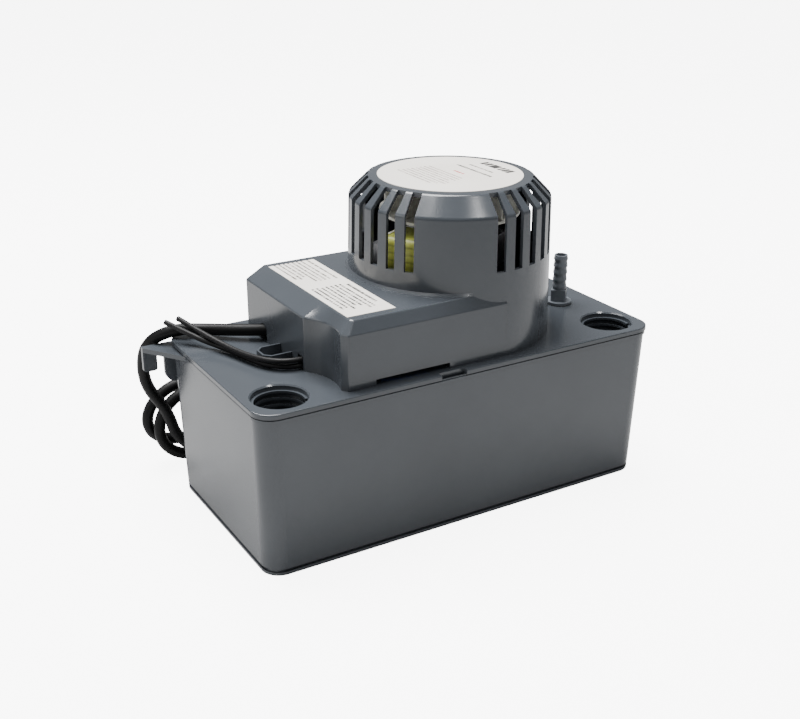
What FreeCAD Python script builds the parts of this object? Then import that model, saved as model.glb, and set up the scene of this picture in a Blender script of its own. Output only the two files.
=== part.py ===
import FreeCAD, Part
import math
import os

# Condensate pump: a drain tank with a lid, a motor cover with vents, a float switch and a
# vertical centrifugal pump. Millimetres. +X runs along the long side, +Y to the back, +Z up.
# The origin is the centre of the tank's flat bottom.
Vec = FreeCAD.Vector

# Lid and tank
DECK_LENGTH = 280.0
DECK_WIDTH = 142.5
DECK_TOP = 104.8
DECK_THICK = 3.0
DECK_CORNER = 12.7
DECK_EDGE_ROUND = 0.8
TANK_INSET = 1.0
TANK_DRAFT = 2.3
TANK_WALL = 2.6
TANK_CORNER = 12.0
FOOT_HEIGHT = 4.0
FOOT_ROUND = 0.6
GROOVE_LOW = 2.3
GROOVE_TOP = 4.3
GROOVE_DEPTH = 1.6
GROOVE_CORNER = 8.0
ROOM_ROUND = 6.4
PIT_INSET = 11.6
BEAD_DROP = 0.9
BEAD_HEIGHT = 1.6
BEAD_PROUD = 0.7
SKIRT_THICK = 1.8
SKIRT_HEIGHT = 6.0
SKIRT_GAP = 0.3
TANK_TOP = DECK_TOP - DECK_THICK

# Pry notch at the front edge of the lid, over a slot in the tank's rim
NOTCH_X = -15.0
NOTCH_WIDTH = 17.4
NOTCH_DEPTH = 3.7
NOTCH_LIP = 0.8
NOTCH_SLOT_DEPTH = 3.0

# Wall hooks at the two back corners of the tank
HOOK_REACH = 18.0
HOOK_ROOT = 31.0
HOOK_WEB_TOP = DECK_TOP - 4.2
HOOK_WEB_THICK = 3.0
HOOK_PLATE = 3.0
HOOK_SLOT = 5.0
HOOK_SLOT_TOP = DECK_TOP - 9.4
HOOK_PRONG = 9.0
HOOK_PRONG_END = DECK_TOP - 20.8
HOOK_RIB_END = DECK_TOP - 30.8
HOOK_RIB_CORNER = 7.0
HOOK_PRONG_CORNER = 1.8

# Drain inlets in the lid
INLET_SIDE_MARGIN = 21.85
INLET_X = 118.0
INLET_Y = INLET_SIDE_MARGIN - DECK_WIDTH / 2
INLET_RADIUS = 16.4
INLET_CREST = 14.6
INLET_WALL = 1.2
INLET_DEPTH = 15.6
INLET_RIB_FIRST = 3.2
INLET_RIB_PITCH = 4.2
INLET_RIB_LAND = 1.4
INLET_RIB_COUNT = 3
INLET_RIB_GAP = 14.0
INLET_GAP_AT = -22.0

# Motor cover: a round dome with vents, and a box beside it
DOME_X = 26.0
DOME_Y = 0.6
DOME_FOOT_RADIUS = 64.9
DOME_SHOULDER_RADIUS = 63.1
DOME_HEIGHT = 98.4
DOME_TOP = DECK_TOP + DOME_HEIGHT
DOME_SHOULDER_Z = DOME_TOP - 11.5
DOME_FLAT_RADIUS = 51.6
COVER_WALL = 2.4
BOX_LEFT = -90.0
BOX_BACK_MARGIN = 14.75
BOX_FRONT_MARGIN = 6.95
BOX_BACK = DECK_WIDTH / 2 - BOX_BACK_MARGIN
BOX_FRONT = BOX_FRONT_MARGIN - DECK_WIDTH / 2
BOX_WALL_TOP = DECK_TOP + 33.6
BOX_TOP = BOX_WALL_TOP + 7.2
BOX_LEFT_BEVEL = 12.7
BOX_FRONT_BEVEL = 4.7
SCALLOP_X = 2.0 - INLET_X
SCALLOP_Y = INLET_Y + 2.4
SCALLOP_RADIUS = 34.0
COVER_EDGE_ROUND = 1.6
DOME_EDGE_ROUND = 3.0
SCALLOP_CORNER = 3.0
RING_RADIUS = 65.6
RING_HEIGHT = 2.4
VENT_COUNT = 9
VENT_PITCH = 11.5
VENT_FIRST = 25.4
VENT_CENTRE = -119.3
VENT_WIDTH = 6.2
VENT_BOTTOM = DOME_TOP - 45.2
VENT_INNER = 51.0
FRONT_SLOT_LEFT = -64.0
FRONT_SLOT_RIGHT = -13.8
FRONT_SLOT_HEIGHT = 3.8
FOOT_NOTCH_ANGLE = -43.5
FOOT_NOTCH_WIDTH = 2.4
FOOT_NOTCH_HEIGHT = 4.0

# Labels
DATA_LABEL_MARGIN = 8.4
DATA_LABEL_LENGTH = BOX_BACK - BOX_FRONT - 2 * DATA_LABEL_MARGIN
DATA_LABEL_DOME_GAP = 6.6
DATA_LABEL_LEFT = BOX_LEFT + 13.0
DATA_LABEL_WIDTH = DOME_X - DOME_FOOT_RADIUS - DATA_LABEL_DOME_GAP - DATA_LABEL_LEFT
DATA_LABEL_FRONT = BOX_FRONT + 9.7
TOP_LABEL_RADIUS = 45.3
LABEL_THICK = 0.3

# Screws
COVER_BOSS_RADIUS = 4.0
COVER_BOSS_HEIGHT = 12.0
COVER_BOSS_INSET = 3.4
COVER_BOSS_ANGLE = 22.0
SCREW_GAP = 0.1
COVER_SCREW_RADIUS = 1.5
COVER_SCREW_GRIP = 9.0
MOUNT_SCREW_RADIUS = 1.6
BRACKET_SCREW_RADIUS = 1.5
MOTOR_SCREW_RADIUS = 2.0
VOLUTE_SCREW_RADIUS = 1.1
CLAMP_SCREW_RADIUS = 1.4
HEAD_RATIO = 1.9
HEAD_HEIGHT = 2.2

# Motor, built about its own shaft and then turned to face the front left
MOTOR_TURN = 210.0
STACK_HEIGHT = 20.0
STACK_TOP = DOME_TOP - 37.2
STACK_BOTTOM = STACK_TOP - STACK_HEIGHT
STACK_HALF_WIDTH = 30.0
STACK_REAR = -22.0
STACK_FRONT = 46.0
WINDOW_REAR = 20.0
WINDOW_FRONT = 34.0
WINDOW_HALF = 18.0
ROTOR_RADIUS = 13.0
AIR_GAP = 0.4
END_RING_HEIGHT = 2.6
BOBBIN_WALL = 1.1
BOBBIN_GAP = 0.2
BOBBIN_HALF = 17.0
BOBBIN_FLANGE = 1.5
COIL_BUILD = 8.6
COIL_CORNER = 4.5
FLANGE_PROUD = 0.4
SHADING_WIRE = 1.1
SHADING_INNER = 16.0
SHADING_OUTER = 23.5
SHADING_ANGLE = 35.0
BRACKET_HALF = 8.0
BRACKET_THICK = 3.0
BRACKET_STAND = 5.5
BRACKET_FOOT = 5.0
MOTOR_SCREW_OFFSET = 24.5
HUB_RADIUS = 9.0
HUB_OVERHANG = 1.5
BEARING_RADIUS = 6.0
BEARING_SEAT_GAP = 0.02
SHAFT_RADIUS = 3.0
SHAFT_GAP = 0.05
SHAFT_BOTTOM = 14.0
SHAFT_TOP = DOME_TOP - 10.2
MOUNT_RADIUS = 34.0
MOUNT_THICK = 3.0
MOUNT_POST = 7.0
MOUNT_RING_OUTER = 27.0
MOUNT_RING_INNER = 24.0
MOUNT_RING_TOP = DECK_TOP + 17.2
MOUNT_SCREW_CIRCLE = 29.5
MOUNT_SCREW_ANGLE = 30.0
SHAFT_HOLE = 6.0
SLINGER_RADIUS = 10.0
SLINGER_Z = DECK_TOP + 7.2
SLINGER_THICK = 2.0
FAN_DISC_Z = DOME_TOP - 22.8
FAN_DISC_THICK = 1.6
FAN_RADIUS = 44.0
FAN_HUB_RADIUS = 9.0
FAN_HUB_DROP = 1.6
FAN_BLADE_COUNT = 12
FAN_BLADE_HEIGHT = 13.6
FAN_BLADE_THICK = 1.2
FAN_BLADE_INNER = 16.0

# Pump under the lid
COLUMN_OUTER = 13.0
COLUMN_INNER = 10.0
COLUMN_FLANGE = 3.0
COLUMN_BOSS = 4.0
COLUMN_BOSS_HEIGHT = 6.0
COLUMN_SLOT_WIDTH = 6.0
COLUMN_SLOT_BOTTOM = 48.0
COLUMN_SLOT_TOP = 84.0
VOLUTE_BOTTOM = 12.0
VOLUTE_TOP = 30.0
VOLUTE_OUTER = 29.0
VOLUTE_INNER = 24.5
VOLUTE_ROOF = 3.0
VOLUTE_SEAT = 4.0
VOLUTE_SCREW_CIRCLE = 26.75
VOLUTE_SCREW_COUNT = 4
COVER_PLATE_THICK = 3.0
EYE_RADIUS = 8.0
STRAINER_LEG = 1.8
STRAINER_LEG_HEIGHT = 5.4
STRAINER_LEG_CIRCLE = 14.0
IMPELLER_RADIUS = 22.0
IMPELLER_HUB = 6.5
IMPELLER_BLADE_BOTTOM = 14.6
IMPELLER_DISC_Z = 22.4
IMPELLER_DISC_THICK = 1.8
IMPELLER_BLADES = 6
IMPELLER_BLADE_THICK = 1.6
SPIGOT_OUTER = 5.0
SPIGOT_INNER = 3.5
SPIGOT_LENGTH = 14.0
HOSE_WALL = 1.9
HOSE_GAP = 0.05
HOSE_BEND = 16.0
OUTLET_Z = 20.0

# Check valve with its hose barb
VALVE_X = (DOME_X + RING_RADIUS + DECK_LENGTH / 2) / 2 - 2.8
VALVE_Y = -5.2
GASKET_THICK = 0.6
GASKET_RADIUS = 8.9
VALVE_FLANGE_RADIUS = 8.7
VALVE_FLANGE_THICK = 1.5
COLLAR_SIDE = 9.9
COLLAR_HEIGHT = 8.0
BARB_LENGTH = 24.0
BARB_CREST = 4.8
BARB_ROOT = 4.4
BARB_LAND = 0.8
BARB_COUNT = 5
BARB_BORE = 3.4
VALVE_STEM = 7.0
VALVE_STEM_GAP = 0.1
VALVE_STEM_BOTTOM = DECK_TOP - 15.6
CHAMBER_RADIUS = 5.2
CHAMBER_TOP = DECK_TOP - 4.8
SEAT_OUTER = 9.4
SEAT_FLOOR_TOP = DECK_TOP - 15.8
SEAT_FLOOR_BOTTOM = DECK_TOP - 18.8
SEAT_HOLE = 3.4
BALL_RADIUS = 4.4
BALL_GAP = 0.15
BALL_TRAVEL = 3.0

# Float, its arm and the push rod
PIVOT_X = BOX_LEFT + 62.0
PIVOT_Z = DECK_TOP - 14.8
PIVOT_PIN_RADIUS = 1.5
PIVOT_GAP = 0.06
ARM_HUB = 4.0
ARM_HALF = 4.0
ARM_HUB_HALF = 5.5
ARM_DEPTH = 4.5
ARM_PAD_LEFT = PIVOT_X - 16.0
FLOAT_LEFT = BOX_LEFT - 22.0
FLOAT_RIGHT = PIVOT_X - 32.0
FLOAT_HALF_WIDTH = 28.0
FLOAT_BOTTOM = 26.0
FLOAT_TOP = 54.0
FLOAT_ROUND = 5.0
ARM_FOOT_LEFT = FLOAT_LEFT + 14.0
ARM_FOOT_RIGHT = FLOAT_RIGHT - 14.0
ARM_FOOT_HALF = 10.0
ARM_FOOT_THICK = 2.5
FLOAT_SWING = 18.0
EAR_HALF_GAP = 6.0
EAR_THICK = 2.0
EAR_HALF_LENGTH = 5.0
EAR_BOTTOM = DECK_TOP - 19.8
ROD_X = PIVOT_X - 10.0
ROD_RADIUS = 2.0
ROD_GUIDE_GAP = 0.08
ROD_END_GAP = 0.3
ROD_GUIDE_BOSS = 4.0
ROD_GUIDE_DROP = 4.0
BAR_RADIUS = 1.5
BAR_HALF = 12.0

# Snap switches over the push rod
BRACKET_LEFT = PIVOT_X - 36.0
BRACKET_RIGHT = PIVOT_X + 2.0
BRACKET_BASE = 1.2
BRACKET_SIDE = 1.2
BRACKET_TOP = DECK_TOP + 36.7
FLOAT_BRACKET_THICK = 2.0
FLOAT_BRACKET_RIGHT = PIVOT_X + 8.0
BRACKET_SCREW_LEFT = PIVOT_X - 32.0
BRACKET_SCREW_RIGHT = PIVOT_X - 2.0
BRACKET_SCREW_HALF = 9.8
BRACKET_BOSS_RADIUS = 3.2
BRACKET_BOSS_HEIGHT = 6.0
SWITCH_LEFT = PIVOT_X - 30.0
SWITCH_LENGTH = 27.8
SWITCH_THICK = 10.3
SWITCH_INNER = 2.7
SWITCH_BOTTOM = DECK_TOP + 20.2
SWITCH_HEIGHT = 15.9
SWITCH_HOLE_Z = DECK_TOP + 32.7
SWITCH_HOLE_SPACING = 22.2
SWITCH_HOLE_RADIUS = 1.5
SWITCH_SCREW_RADIUS = 1.4
SPACER_RADIUS = 2.6
LEVER_PIVOT_X = PIVOT_X - 26.0
LEVER_PIVOT_Z = DECK_TOP + 19.2
LEVER_BARREL = 0.8
LEVER_THICK = 0.5
LEVER_WIDTH = 4.0
LEVER_LENGTH = 22.0
LEVER_GAP = 0.3
LUG_WIDTH = 1.0
LUG_HALF_LENGTH = 1.6
LUG_BOTTOM = DECK_TOP + 17.6
PLUNGER_REACH = 5.0
PLUNGER_RADIUS = 1.2
PLUNGER_GAP = 0.08
PLUNGER_TOP = DECK_TOP + 24.2
PLUNGER_ROOM = 2.0
PLUNGER_END_GAP = 0.5
TERMINAL_COUNT = 3
TERMINAL_LENGTH = 4.0

# Wiring inside the box
BLOCK_LEFT = BOX_LEFT + 6.0
BLOCK_RIGHT = BLOCK_LEFT + 14.0
BLOCK_FRONT = -8.0
BLOCK_BACK = 14.0
BLOCK_HEIGHT = 10.0
BLOCK_WELLS = 4
BLOCK_WELL_RADIUS = 1.8
BLOCK_WELL_DEPTH = 4.0
WIRE_RADIUS = 1.2
CLAMP_LEFT = BOX_LEFT + 5.0
CLAMP_RIGHT = CLAMP_LEFT + 10.0
CLAMP_HALF = 10.0
CLAMP_TOP = DECK_TOP + 13.7
CLAMP_SPLIT = 0.4
CLAMP_SCREW_OFFSET = 7.2

# Power cord, its hank, tie and plug
CORD_RADIUS = 3.85
CORD_FIT = 0.05
NOTCH_GAP = 0.5
NOTCH_REACH = 7.0
CORD_ROUTE = [
    (-72.0, 23.5, 111.8),
    (-98.3, 35.8, 111.8),
    (-119.3, 58.0, 109.2),
    (-137.6, 64.3, 110.5),
    (-150.3, 76.7, 100.6),
    (-153.1, 84.0, 83.5),
    (-150.0, 87.0, 64.9),
    (-137.6, 87.0, 44.4),
]
HANK_LEFT = -121.7
HANK_RIGHT = 45.0
HANK_BEND = 28.5
HANK_FRONT = 82.4
HANK_BACK = 108.2
HANK_WAIST = -36.0
HANK_WAIST_TOP = 24.0
HANK_WAIST_HALF = 9.0
TIE_WIDTH = 9.0
TIE_THICK = 1.4
TIE_GAP = 0.1
PLUG_START = 88.0
PLUG_Y = 94.5
PLUG_Z = 14.5
PLUG_RELIEF_LENGTH = 24.0
PLUG_RELIEF_RADIUS = 6.2
PLUG_LENGTH = 34.0
PLUG_WIDTH = 27.0
PLUG_HEIGHT = 24.0
PLUG_ROUND = 5.0
BLADE_LENGTH = 17.0
BLADE_WIDTH = 6.3
BLADE_THICK = 1.5
BLADE_SPACING = 12.7
EARTH_PIN_RADIUS = 2.4
EARTH_PIN_DROP = 11.9

TAIL_ROUTE = [
    (48.0, 94.5, 9.0),
    (66.0, 94.5, 14.5),
    (88.0, 94.5, 14.5),
]

# The two switch leads
LEAD_RADIUS = 1.7
LEAD_NOTCH_FRONT = -23.2
LEAD_NOTCH_BACK = -16.4
LEAD_NOTCH_TOP = DECK_TOP + 8.6
UPPER_LEAD_ROUTE = [
    (-80.0, -22.0, 111.1),
    (-90.6, -21.2, 111.1),
    (-98.8, -19.6, 111.0),
    (-105.8, -14.5, 110.9),
    (-111.2, -5.4, 110.5),
    (-116.4, 11.6, 109.7),
    (-121.5, 28.4, 111.1),
    (-127.4, 43.6, 113.9),
    (-131.2, 53.2, 116.2),
    (-134.2, 62.1, 117.8),
]
LOWER_LEAD_ROUTE = [
    (-80.0, -22.0, 107.1),
    (-90.4, -21.2, 107.1),
    (-98.2, -18.9, 107.1),
    (-104.8, -13.6, 107.2),
    (-109.8, -4.6, 107.1),
    (-113.9, 12.0, 106.7),
    (-118.6, 27.4, 107.0),
    (-127.0, 39.6, 109.4),
    (-135.4, 50.0, 113.6),
    (-142.8, 61.7, 117.2),
]
BLUE_WIRE_ROUTE = [
    (-72.4, 21.4, 111.8),
    (-67.3, 16.3, 111.6),
    (-66.2, 3.0, 109.4),
    (-67.5, -20.0, 109.0),
    (-62.0, -44.0, 108.0),
    (-46.0, -60.0, 107.0),
    (-24.0, -53.0, 109.0),
    (-10.0, -40.0, 121.0),
    (-9.0, -31.0, 136.0),
]
BLACK_WIRE_ROUTE = [
    (-70.4, 25.0, 111.8),
    (-64.2, 23.4, 114.5),
    (-60.5, 21.0, 121.0),
    (-60.5, 10.6, 128.0),
]
CLIP_OUT = 17.4
CLIP_FRONT = -8.8
CLIP_BACK = 7.8
CLIP_WALL = 1.2
CLIP_HEIGHT = 6.7
CLIP_CORNER = 3.8
CLIP_GAP = 0.2

# Worked out from the sizes above
INLET_SPOTS = [(-INLET_X, INLET_Y), (INLET_X, INLET_Y)]
ROD_ARM = PIVOT_X - ROD_X
ROD_TRAVEL = ROD_ARM * math.tan(math.radians(FLOAT_SWING))
LEVER_REACH = ROD_X - LEVER_PIVOT_X
LEVER_SLOPE = math.degrees(math.atan2(ROD_TRAVEL, LEVER_REACH))
BAR_Z = (
    LEVER_PIVOT_Z
    - ROD_TRAVEL
    - (LEVER_THICK / 2 + BAR_RADIUS + LEVER_GAP) / math.cos(math.radians(LEVER_SLOPE))
)
UPPER_BAR = STACK_TOP + BRACKET_STAND
LOWER_BAR = STACK_BOTTOM - BRACKET_STAND
SWITCH_SIDES = {"pump_switch": 1.0, "safety_switch": -1.0}


# Plain shapes
def box(x0, x1, y0, y1, z0, z1):
    return Part.makeBox(x1 - x0, y1 - y0, z1 - z0, Vec(x0, y0, z0))


def post(radius, z0, z1, x=0.0, y=0.0):
    return Part.makeCylinder(radius, z1 - z0, Vec(x, y, z0))


def pipe(outer, inner, z0, z1, x=0.0, y=0.0):
    return post(outer, z0, z1, x, y).cut(post(inner, z0 - 1, z1 + 1, x, y))


def rod_along_y(radius, y0, y1, x, z):
    return Part.makeCylinder(radius, y1 - y0, Vec(x, y0, z), Vec(0, 1, 0))


def rod_along_x(radius, x0, x1, y, z):
    return Part.makeCylinder(radius, x1 - x0, Vec(x0, y, z), Vec(1, 0, 0))


def turned(points, x=0.0, y=0.0):
    outline = [Vec(radius, 0, z) for radius, z in points]
    face = Part.Face(Part.makePolygon(outline + outline[:1]))
    solid = face.revolve(Vec(0, 0, 0), Vec(0, 0, 1), 360)
    solid.translate(Vec(x, y, 0))
    return solid


def plate_xy(points, z0, z1):
    outline = [Vec(x, y, z0) for x, y in points]
    face = Part.Face(Part.makePolygon(outline + outline[:1]))
    return face.extrude(Vec(0, 0, z1 - z0))


def plate_xz(points, y0, y1):
    outline = [Vec(x, y0, z) for x, z in points]
    face = Part.Face(Part.makePolygon(outline + outline[:1]))
    return face.extrude(Vec(0, y1 - y0, 0))


def rounded_outline(length, width, radius, z):
    half_l = length / 2
    half_w = width / 2
    spots = [
        (half_l - radius, half_w - radius, 0),
        (radius - half_l, half_w - radius, 90),
        (radius - half_l, radius - half_w, 180),
        (half_l - radius, radius - half_w, 270),
    ]
    edges = []
    last = None
    first = None
    for cx, cy, start in spots:
        ends = []
        for angle in (start, start + 45, start + 90):
            turn = math.radians(angle)
            ends.append(Vec(cx + radius * math.cos(turn), cy + radius * math.sin(turn), z))
        if last is None:
            first = ends[0]
        else:
            edges.append(Part.LineSegment(last, ends[0]).toShape())
        edges.append(Part.Arc(ends[0], ends[1], ends[2]).toShape())
        last = ends[2]
    edges.append(Part.LineSegment(last, first).toShape())
    return Part.Wire(edges)


def rounded_block(length, width, radius, z0, z1):
    face = Part.Face(rounded_outline(length, width, radius, z0))
    return face.extrude(Vec(0, 0, z1 - z0))


def drafted_block(low, high, radius, z0, z1):
    wires = [rounded_outline(low[0], low[1], radius, z0), rounded_outline(high[0], high[1], radius, z1)]
    return Part.makeLoft(wires, True, True)


def edges_at(shape, z):
    found = []
    for edge in shape.Edges:
        extent = edge.BoundBox
        if abs(extent.ZMin - z) < 1e-4 and abs(extent.ZMax - z) < 1e-4:
            found.append(edge)
    return found


def edges_through(shape, x, z):
    # The edges that run along Y through one spot of the front view.
    found = []
    for edge in shape.Edges:
        extent = edge.BoundBox
        wide = max(abs(extent.XMin - x), abs(extent.XMax - x))
        tall = max(abs(extent.ZMin - z), abs(extent.ZMax - z))
        if max(wide, tall) < 1e-4:
            found.append(edge)
    return found


def screw(radius, head_z, tip_z, x, y):
    # The head stands on the far side of head_z from the tip.
    way = 1.0 if head_z > tip_z else -1.0
    shank = post(radius, min(head_z, tip_z), max(head_z, tip_z), x, y)
    head_end = head_z + way * HEAD_HEIGHT
    head = post(radius * HEAD_RATIO, min(head_z, head_end), max(head_z, head_end), x, y)
    drive_z = head_end - way * HEAD_HEIGHT / 2
    low = min(drive_z, head_end + way)
    high = max(drive_z, head_end + way)
    reach = radius * HEAD_RATIO * 0.7
    thin = radius * 0.22
    slot = box(x - reach, x + reach, y - thin, y + thin, low, high)
    cross = box(x - thin, x + thin, y - reach, y + reach, low, high)
    return shank.fuse(head).cut(slot.fuse(cross)).removeSplitter()


def around(count, start=0.0):
    return [math.radians(start + 360.0 * index / count) for index in range(count)]


def at_motor(shape):
    moved = shape.copy()
    moved.rotate(Vec(0, 0, 0), Vec(0, 0, 1), MOTOR_TURN)
    moved.translate(Vec(DOME_X, DOME_Y, 0))
    return moved


def at_dome(shape):
    moved = shape.copy()
    moved.translate(Vec(DOME_X, DOME_Y, 0))
    return moved


# A cord's tube: straight runs joined by tangent arcs
def route_wire(name, points):
    spots = [Vec(*point) for point in points]
    runs = [(spots[i + 1] - spots[i]).Length for i in range(len(spots) - 1)]
    edges = []
    start = spots[0]
    radii = []
    for i in range(1, len(spots) - 1):
        before = (spots[i] - spots[i - 1]).normalize()
        after = (spots[i + 1] - spots[i]).normalize()
        turn = before.getAngle(after)
        reach = 0.45 * min(runs[i - 1], runs[i])
        radius = reach / math.tan(turn / 2)
        radii.append(round(radius, 1))
        entry = spots[i] - before * reach
        leave = spots[i] + after * reach
        inward = (after - before).normalize()
        centre = spots[i] + inward * (radius / math.cos(turn / 2))
        middle = centre - inward * radius
        edges.append(Part.LineSegment(start, entry).toShape())
        edges.append(Part.Arc(entry, middle, leave).toShape())
        start = leave
    edges.append(Part.LineSegment(start, spots[-1]).toShape())
    wire = Part.Wire(edges)
    print(name, "length", round(wire.Length, 1), "radii", radii)
    return wire


def route_tube(name, points, radius):
    wire = route_wire(name, points)
    start = Vec(*points[0])
    way = Vec(*points[1]) - start
    ring = Part.Wire([Part.makeCircle(radius, start, way)])
    solid = wire.makePipeShell([ring], True, True)
    expected = math.pi * radius**2 * wire.Length
    print(name, "volume", round(solid.Volume, 1), "expected", round(expected, 1), solid.isValid())
    return solid


# Tank
def tank_size(z, inset=0.0):
    share = (TANK_TOP - z) / TANK_TOP
    loss = 2 * (TANK_INSET + TANK_DRAFT * share + inset)
    return DECK_LENGTH - loss, DECK_WIDTH - loss


def wall_hook():
    back = tank_size(HOOK_WEB_TOP)[1] / 2
    side = -tank_size(HOOK_WEB_TOP)[0] / 2
    tip = side - HOOK_REACH
    web_low = HOOK_WEB_TOP - HOOK_WEB_THICK
    inside = side + TANK_CORNER
    web = plate_xy(
        [(side + 1, back - HOOK_ROOT), (tip, back - HOOK_PLATE), (tip, back), (inside, back)],
        web_low,
        HOOK_WEB_TOP,
    )
    slot_left = tip + HOOK_PRONG
    slot_right = slot_left + HOOK_SLOT
    plate = plate_xz(
        [
            (tip, web_low),
            (tip, HOOK_PRONG_END),
            (slot_left, HOOK_PRONG_END),
            (slot_left, HOOK_RIB_END),
            (inside, HOOK_RIB_END),
            (inside, web_low),
        ],
        back - HOOK_PLATE,
        back,
    )
    middle = (slot_left + slot_right) / 2
    round_z = HOOK_SLOT_TOP - HOOK_SLOT / 2
    slot = box(slot_left, slot_right, back - HOOK_PLATE - 1, back + 1, HOOK_RIB_END - 1, round_z)
    slot = slot.fuse(rod_along_y(HOOK_SLOT / 2, back - HOOK_PLATE - 1, back + 1, middle, round_z))
    fork = plate.cut(slot)
    fork = fork.makeFillet(HOOK_RIB_CORNER, edges_through(fork, slot_right, HOOK_RIB_END))
    for x in (tip, slot_left):
        fork = fork.makeFillet(HOOK_PRONG_CORNER, edges_through(fork, x, HOOK_PRONG_END))
    return web.fuse(fork).removeSplitter()


def foot_groove():
    length, width = tank_size(0)
    outside = rounded_block(length + 4, width + 4, TANK_CORNER, GROOVE_LOW, GROOVE_TOP)
    neck = rounded_block(
        length - 2 * GROOVE_DEPTH,
        width - 2 * GROOVE_DEPTH,
        GROOVE_CORNER,
        GROOVE_LOW - 1,
        GROOVE_TOP + 1,
    )
    return outside.cut(neck)


def make_tank():
    high = tank_size(TANK_TOP)
    shell = drafted_block(tank_size(0), high, TANK_CORNER, 0, TANK_TOP)
    shell = shell.makeFillet(FOOT_ROUND, edges_at(shell, 0))
    bead_top = TANK_TOP - BEAD_DROP
    bead_size = tank_size(bead_top)
    bead = rounded_block(
        bead_size[0] + 2 * BEAD_PROUD,
        bead_size[1] + 2 * BEAD_PROUD,
        TANK_CORNER + BEAD_PROUD,
        bead_top - BEAD_HEIGHT,
        bead_top,
    )
    hook = wall_hook()
    other = hook.mirror(Vec(0, 0, 0), Vec(1, 0, 0))
    front = -tank_size(TANK_TOP)[1] / 2
    slot = box(
        NOTCH_X - NOTCH_WIDTH / 2,
        NOTCH_X + NOTCH_WIDTH / 2,
        front + NOTCH_LIP,
        front + TANK_WALL + 1,
        TANK_TOP - NOTCH_SLOT_DEPTH,
        TANK_TOP + 1,
    )
    outer = shell.fuse([bead, hook, other])
    floor_z = FOOT_HEIGHT + TANK_WALL
    low_in = tank_size(floor_z, TANK_WALL)
    high_in = tank_size(TANK_TOP + 1, TANK_WALL)
    inner_corner = TANK_CORNER - TANK_WALL
    room = drafted_block(low_in, high_in, inner_corner, floor_z, TANK_TOP + 1)
    room = room.makeFillet(ROOM_ROUND, edges_at(room, floor_z))
    pit_length, pit_width = tank_size(FOOT_HEIGHT, PIT_INSET)
    pit = rounded_block(pit_length, pit_width, inner_corner, TANK_WALL, floor_z + 1)
    return outer.cut([room.fuse(pit), slot, foot_groove()]).removeSplitter()


# Lid
def inlet_ribs(x, y):
    low = DECK_TOP - INLET_DEPTH
    collar = pipe(INLET_RADIUS + INLET_WALL, INLET_RADIUS, low, TANK_TOP, x, y)
    ribs = []
    for index in range(INLET_RIB_COUNT):
        top = DECK_TOP - INLET_RIB_FIRST - index * INLET_RIB_PITCH
        ribs.append(pipe(INLET_RADIUS + 0.2, INLET_CREST, top - INLET_RIB_LAND, top, x, y))
    ring = ribs[0].fuse(ribs[1:])
    reach = INLET_RADIUS - 0.02
    half = math.radians(INLET_RIB_GAP / 2)
    corners = [(0.0, 0.0)]
    for side in (-half, half):
        angle = math.radians(INLET_GAP_AT) + side
        corners.append((reach * math.cos(angle), reach * math.sin(angle)))
    wedge = plate_xy([(x + cx, y + cy) for cx, cy in corners], low, DECK_TOP)
    return collar.fuse(ring.cut(wedge))


def cover_boss_spots():
    reach = DOME_FOOT_RADIUS - COVER_WALL - COVER_BOSS_INSET
    turn = math.radians(COVER_BOSS_ANGLE)
    inset = COVER_WALL + COVER_BOSS_INSET
    return [
        (BOX_LEFT + inset, BOX_BACK - inset),
        (BOX_LEFT + BOX_LEFT_BEVEL + inset + 4, BOX_FRONT + inset),
        (DOME_X + reach * math.cos(turn), DOME_Y + reach * math.sin(turn)),
        (DOME_X + reach * math.cos(turn), DOME_Y - reach * math.sin(turn)),
    ]


def mount_screw_spots():
    spots = []
    for angle in (MOUNT_SCREW_ANGLE, 180 - MOUNT_SCREW_ANGLE, 180 + MOUNT_SCREW_ANGLE, -MOUNT_SCREW_ANGLE):
        turn = math.radians(angle + MOTOR_TURN)
        x = DOME_X + MOUNT_SCREW_CIRCLE * math.cos(turn)
        y = DOME_Y + MOUNT_SCREW_CIRCLE * math.sin(turn)
        spots.append((x, y))
    return spots


def bracket_screw_spots():
    spots = []
    for x in (BRACKET_SCREW_LEFT, BRACKET_SCREW_RIGHT):
        spots.append((x, -BRACKET_SCREW_HALF))
        spots.append((x, BRACKET_SCREW_HALF))
    return spots


def cord_heading():
    # The cord passes the clamp and the notch in one straight line, turned a little to the back.
    (x0, y0, _), (x1, y1, _) = CORD_ROUTE[:2]
    return math.atan2(y1 - y0, x1 - x0)


def cord_y(x):
    x0, y0, _ = CORD_ROUTE[0]
    return y0 + (x - x0) * math.tan(cord_heading())


def clamp_middle():
    x = (CLAMP_LEFT + CLAMP_RIGHT) / 2
    return x, cord_y(x)


def clamp_block(low, high):
    y = clamp_middle()[1]
    return box(CLAMP_LEFT, CLAMP_RIGHT, y - CLAMP_HALF, y + CLAMP_HALF, low, high)


def cord_bore(radius, x, reach):
    bore = rod_along_x(radius, -reach, reach, 0, 0)
    bore.rotate(Vec(0, 0, 0), Vec(0, 0, 1), math.degrees(cord_heading()))
    bore.translate(Vec(x, cord_y(x), CORD_ROUTE[0][2]))
    return bore


def cord_notch():
    half = CORD_RADIUS + NOTCH_GAP
    slot = box(-NOTCH_REACH, NOTCH_REACH, -half, half, DECK_TOP - 1, CORD_ROUTE[0][2])
    slot.rotate(Vec(0, 0, 0), Vec(0, 0, 1), math.degrees(cord_heading()))
    slot.translate(Vec(BOX_LEFT, cord_y(BOX_LEFT), 0))
    return slot.fuse(cord_bore(half, BOX_LEFT, NOTCH_REACH))


def clamp_screw_spots():
    x, y = clamp_middle()
    return [(x, y - CLAMP_SCREW_OFFSET), (x, y + CLAMP_SCREW_OFFSET)]


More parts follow.
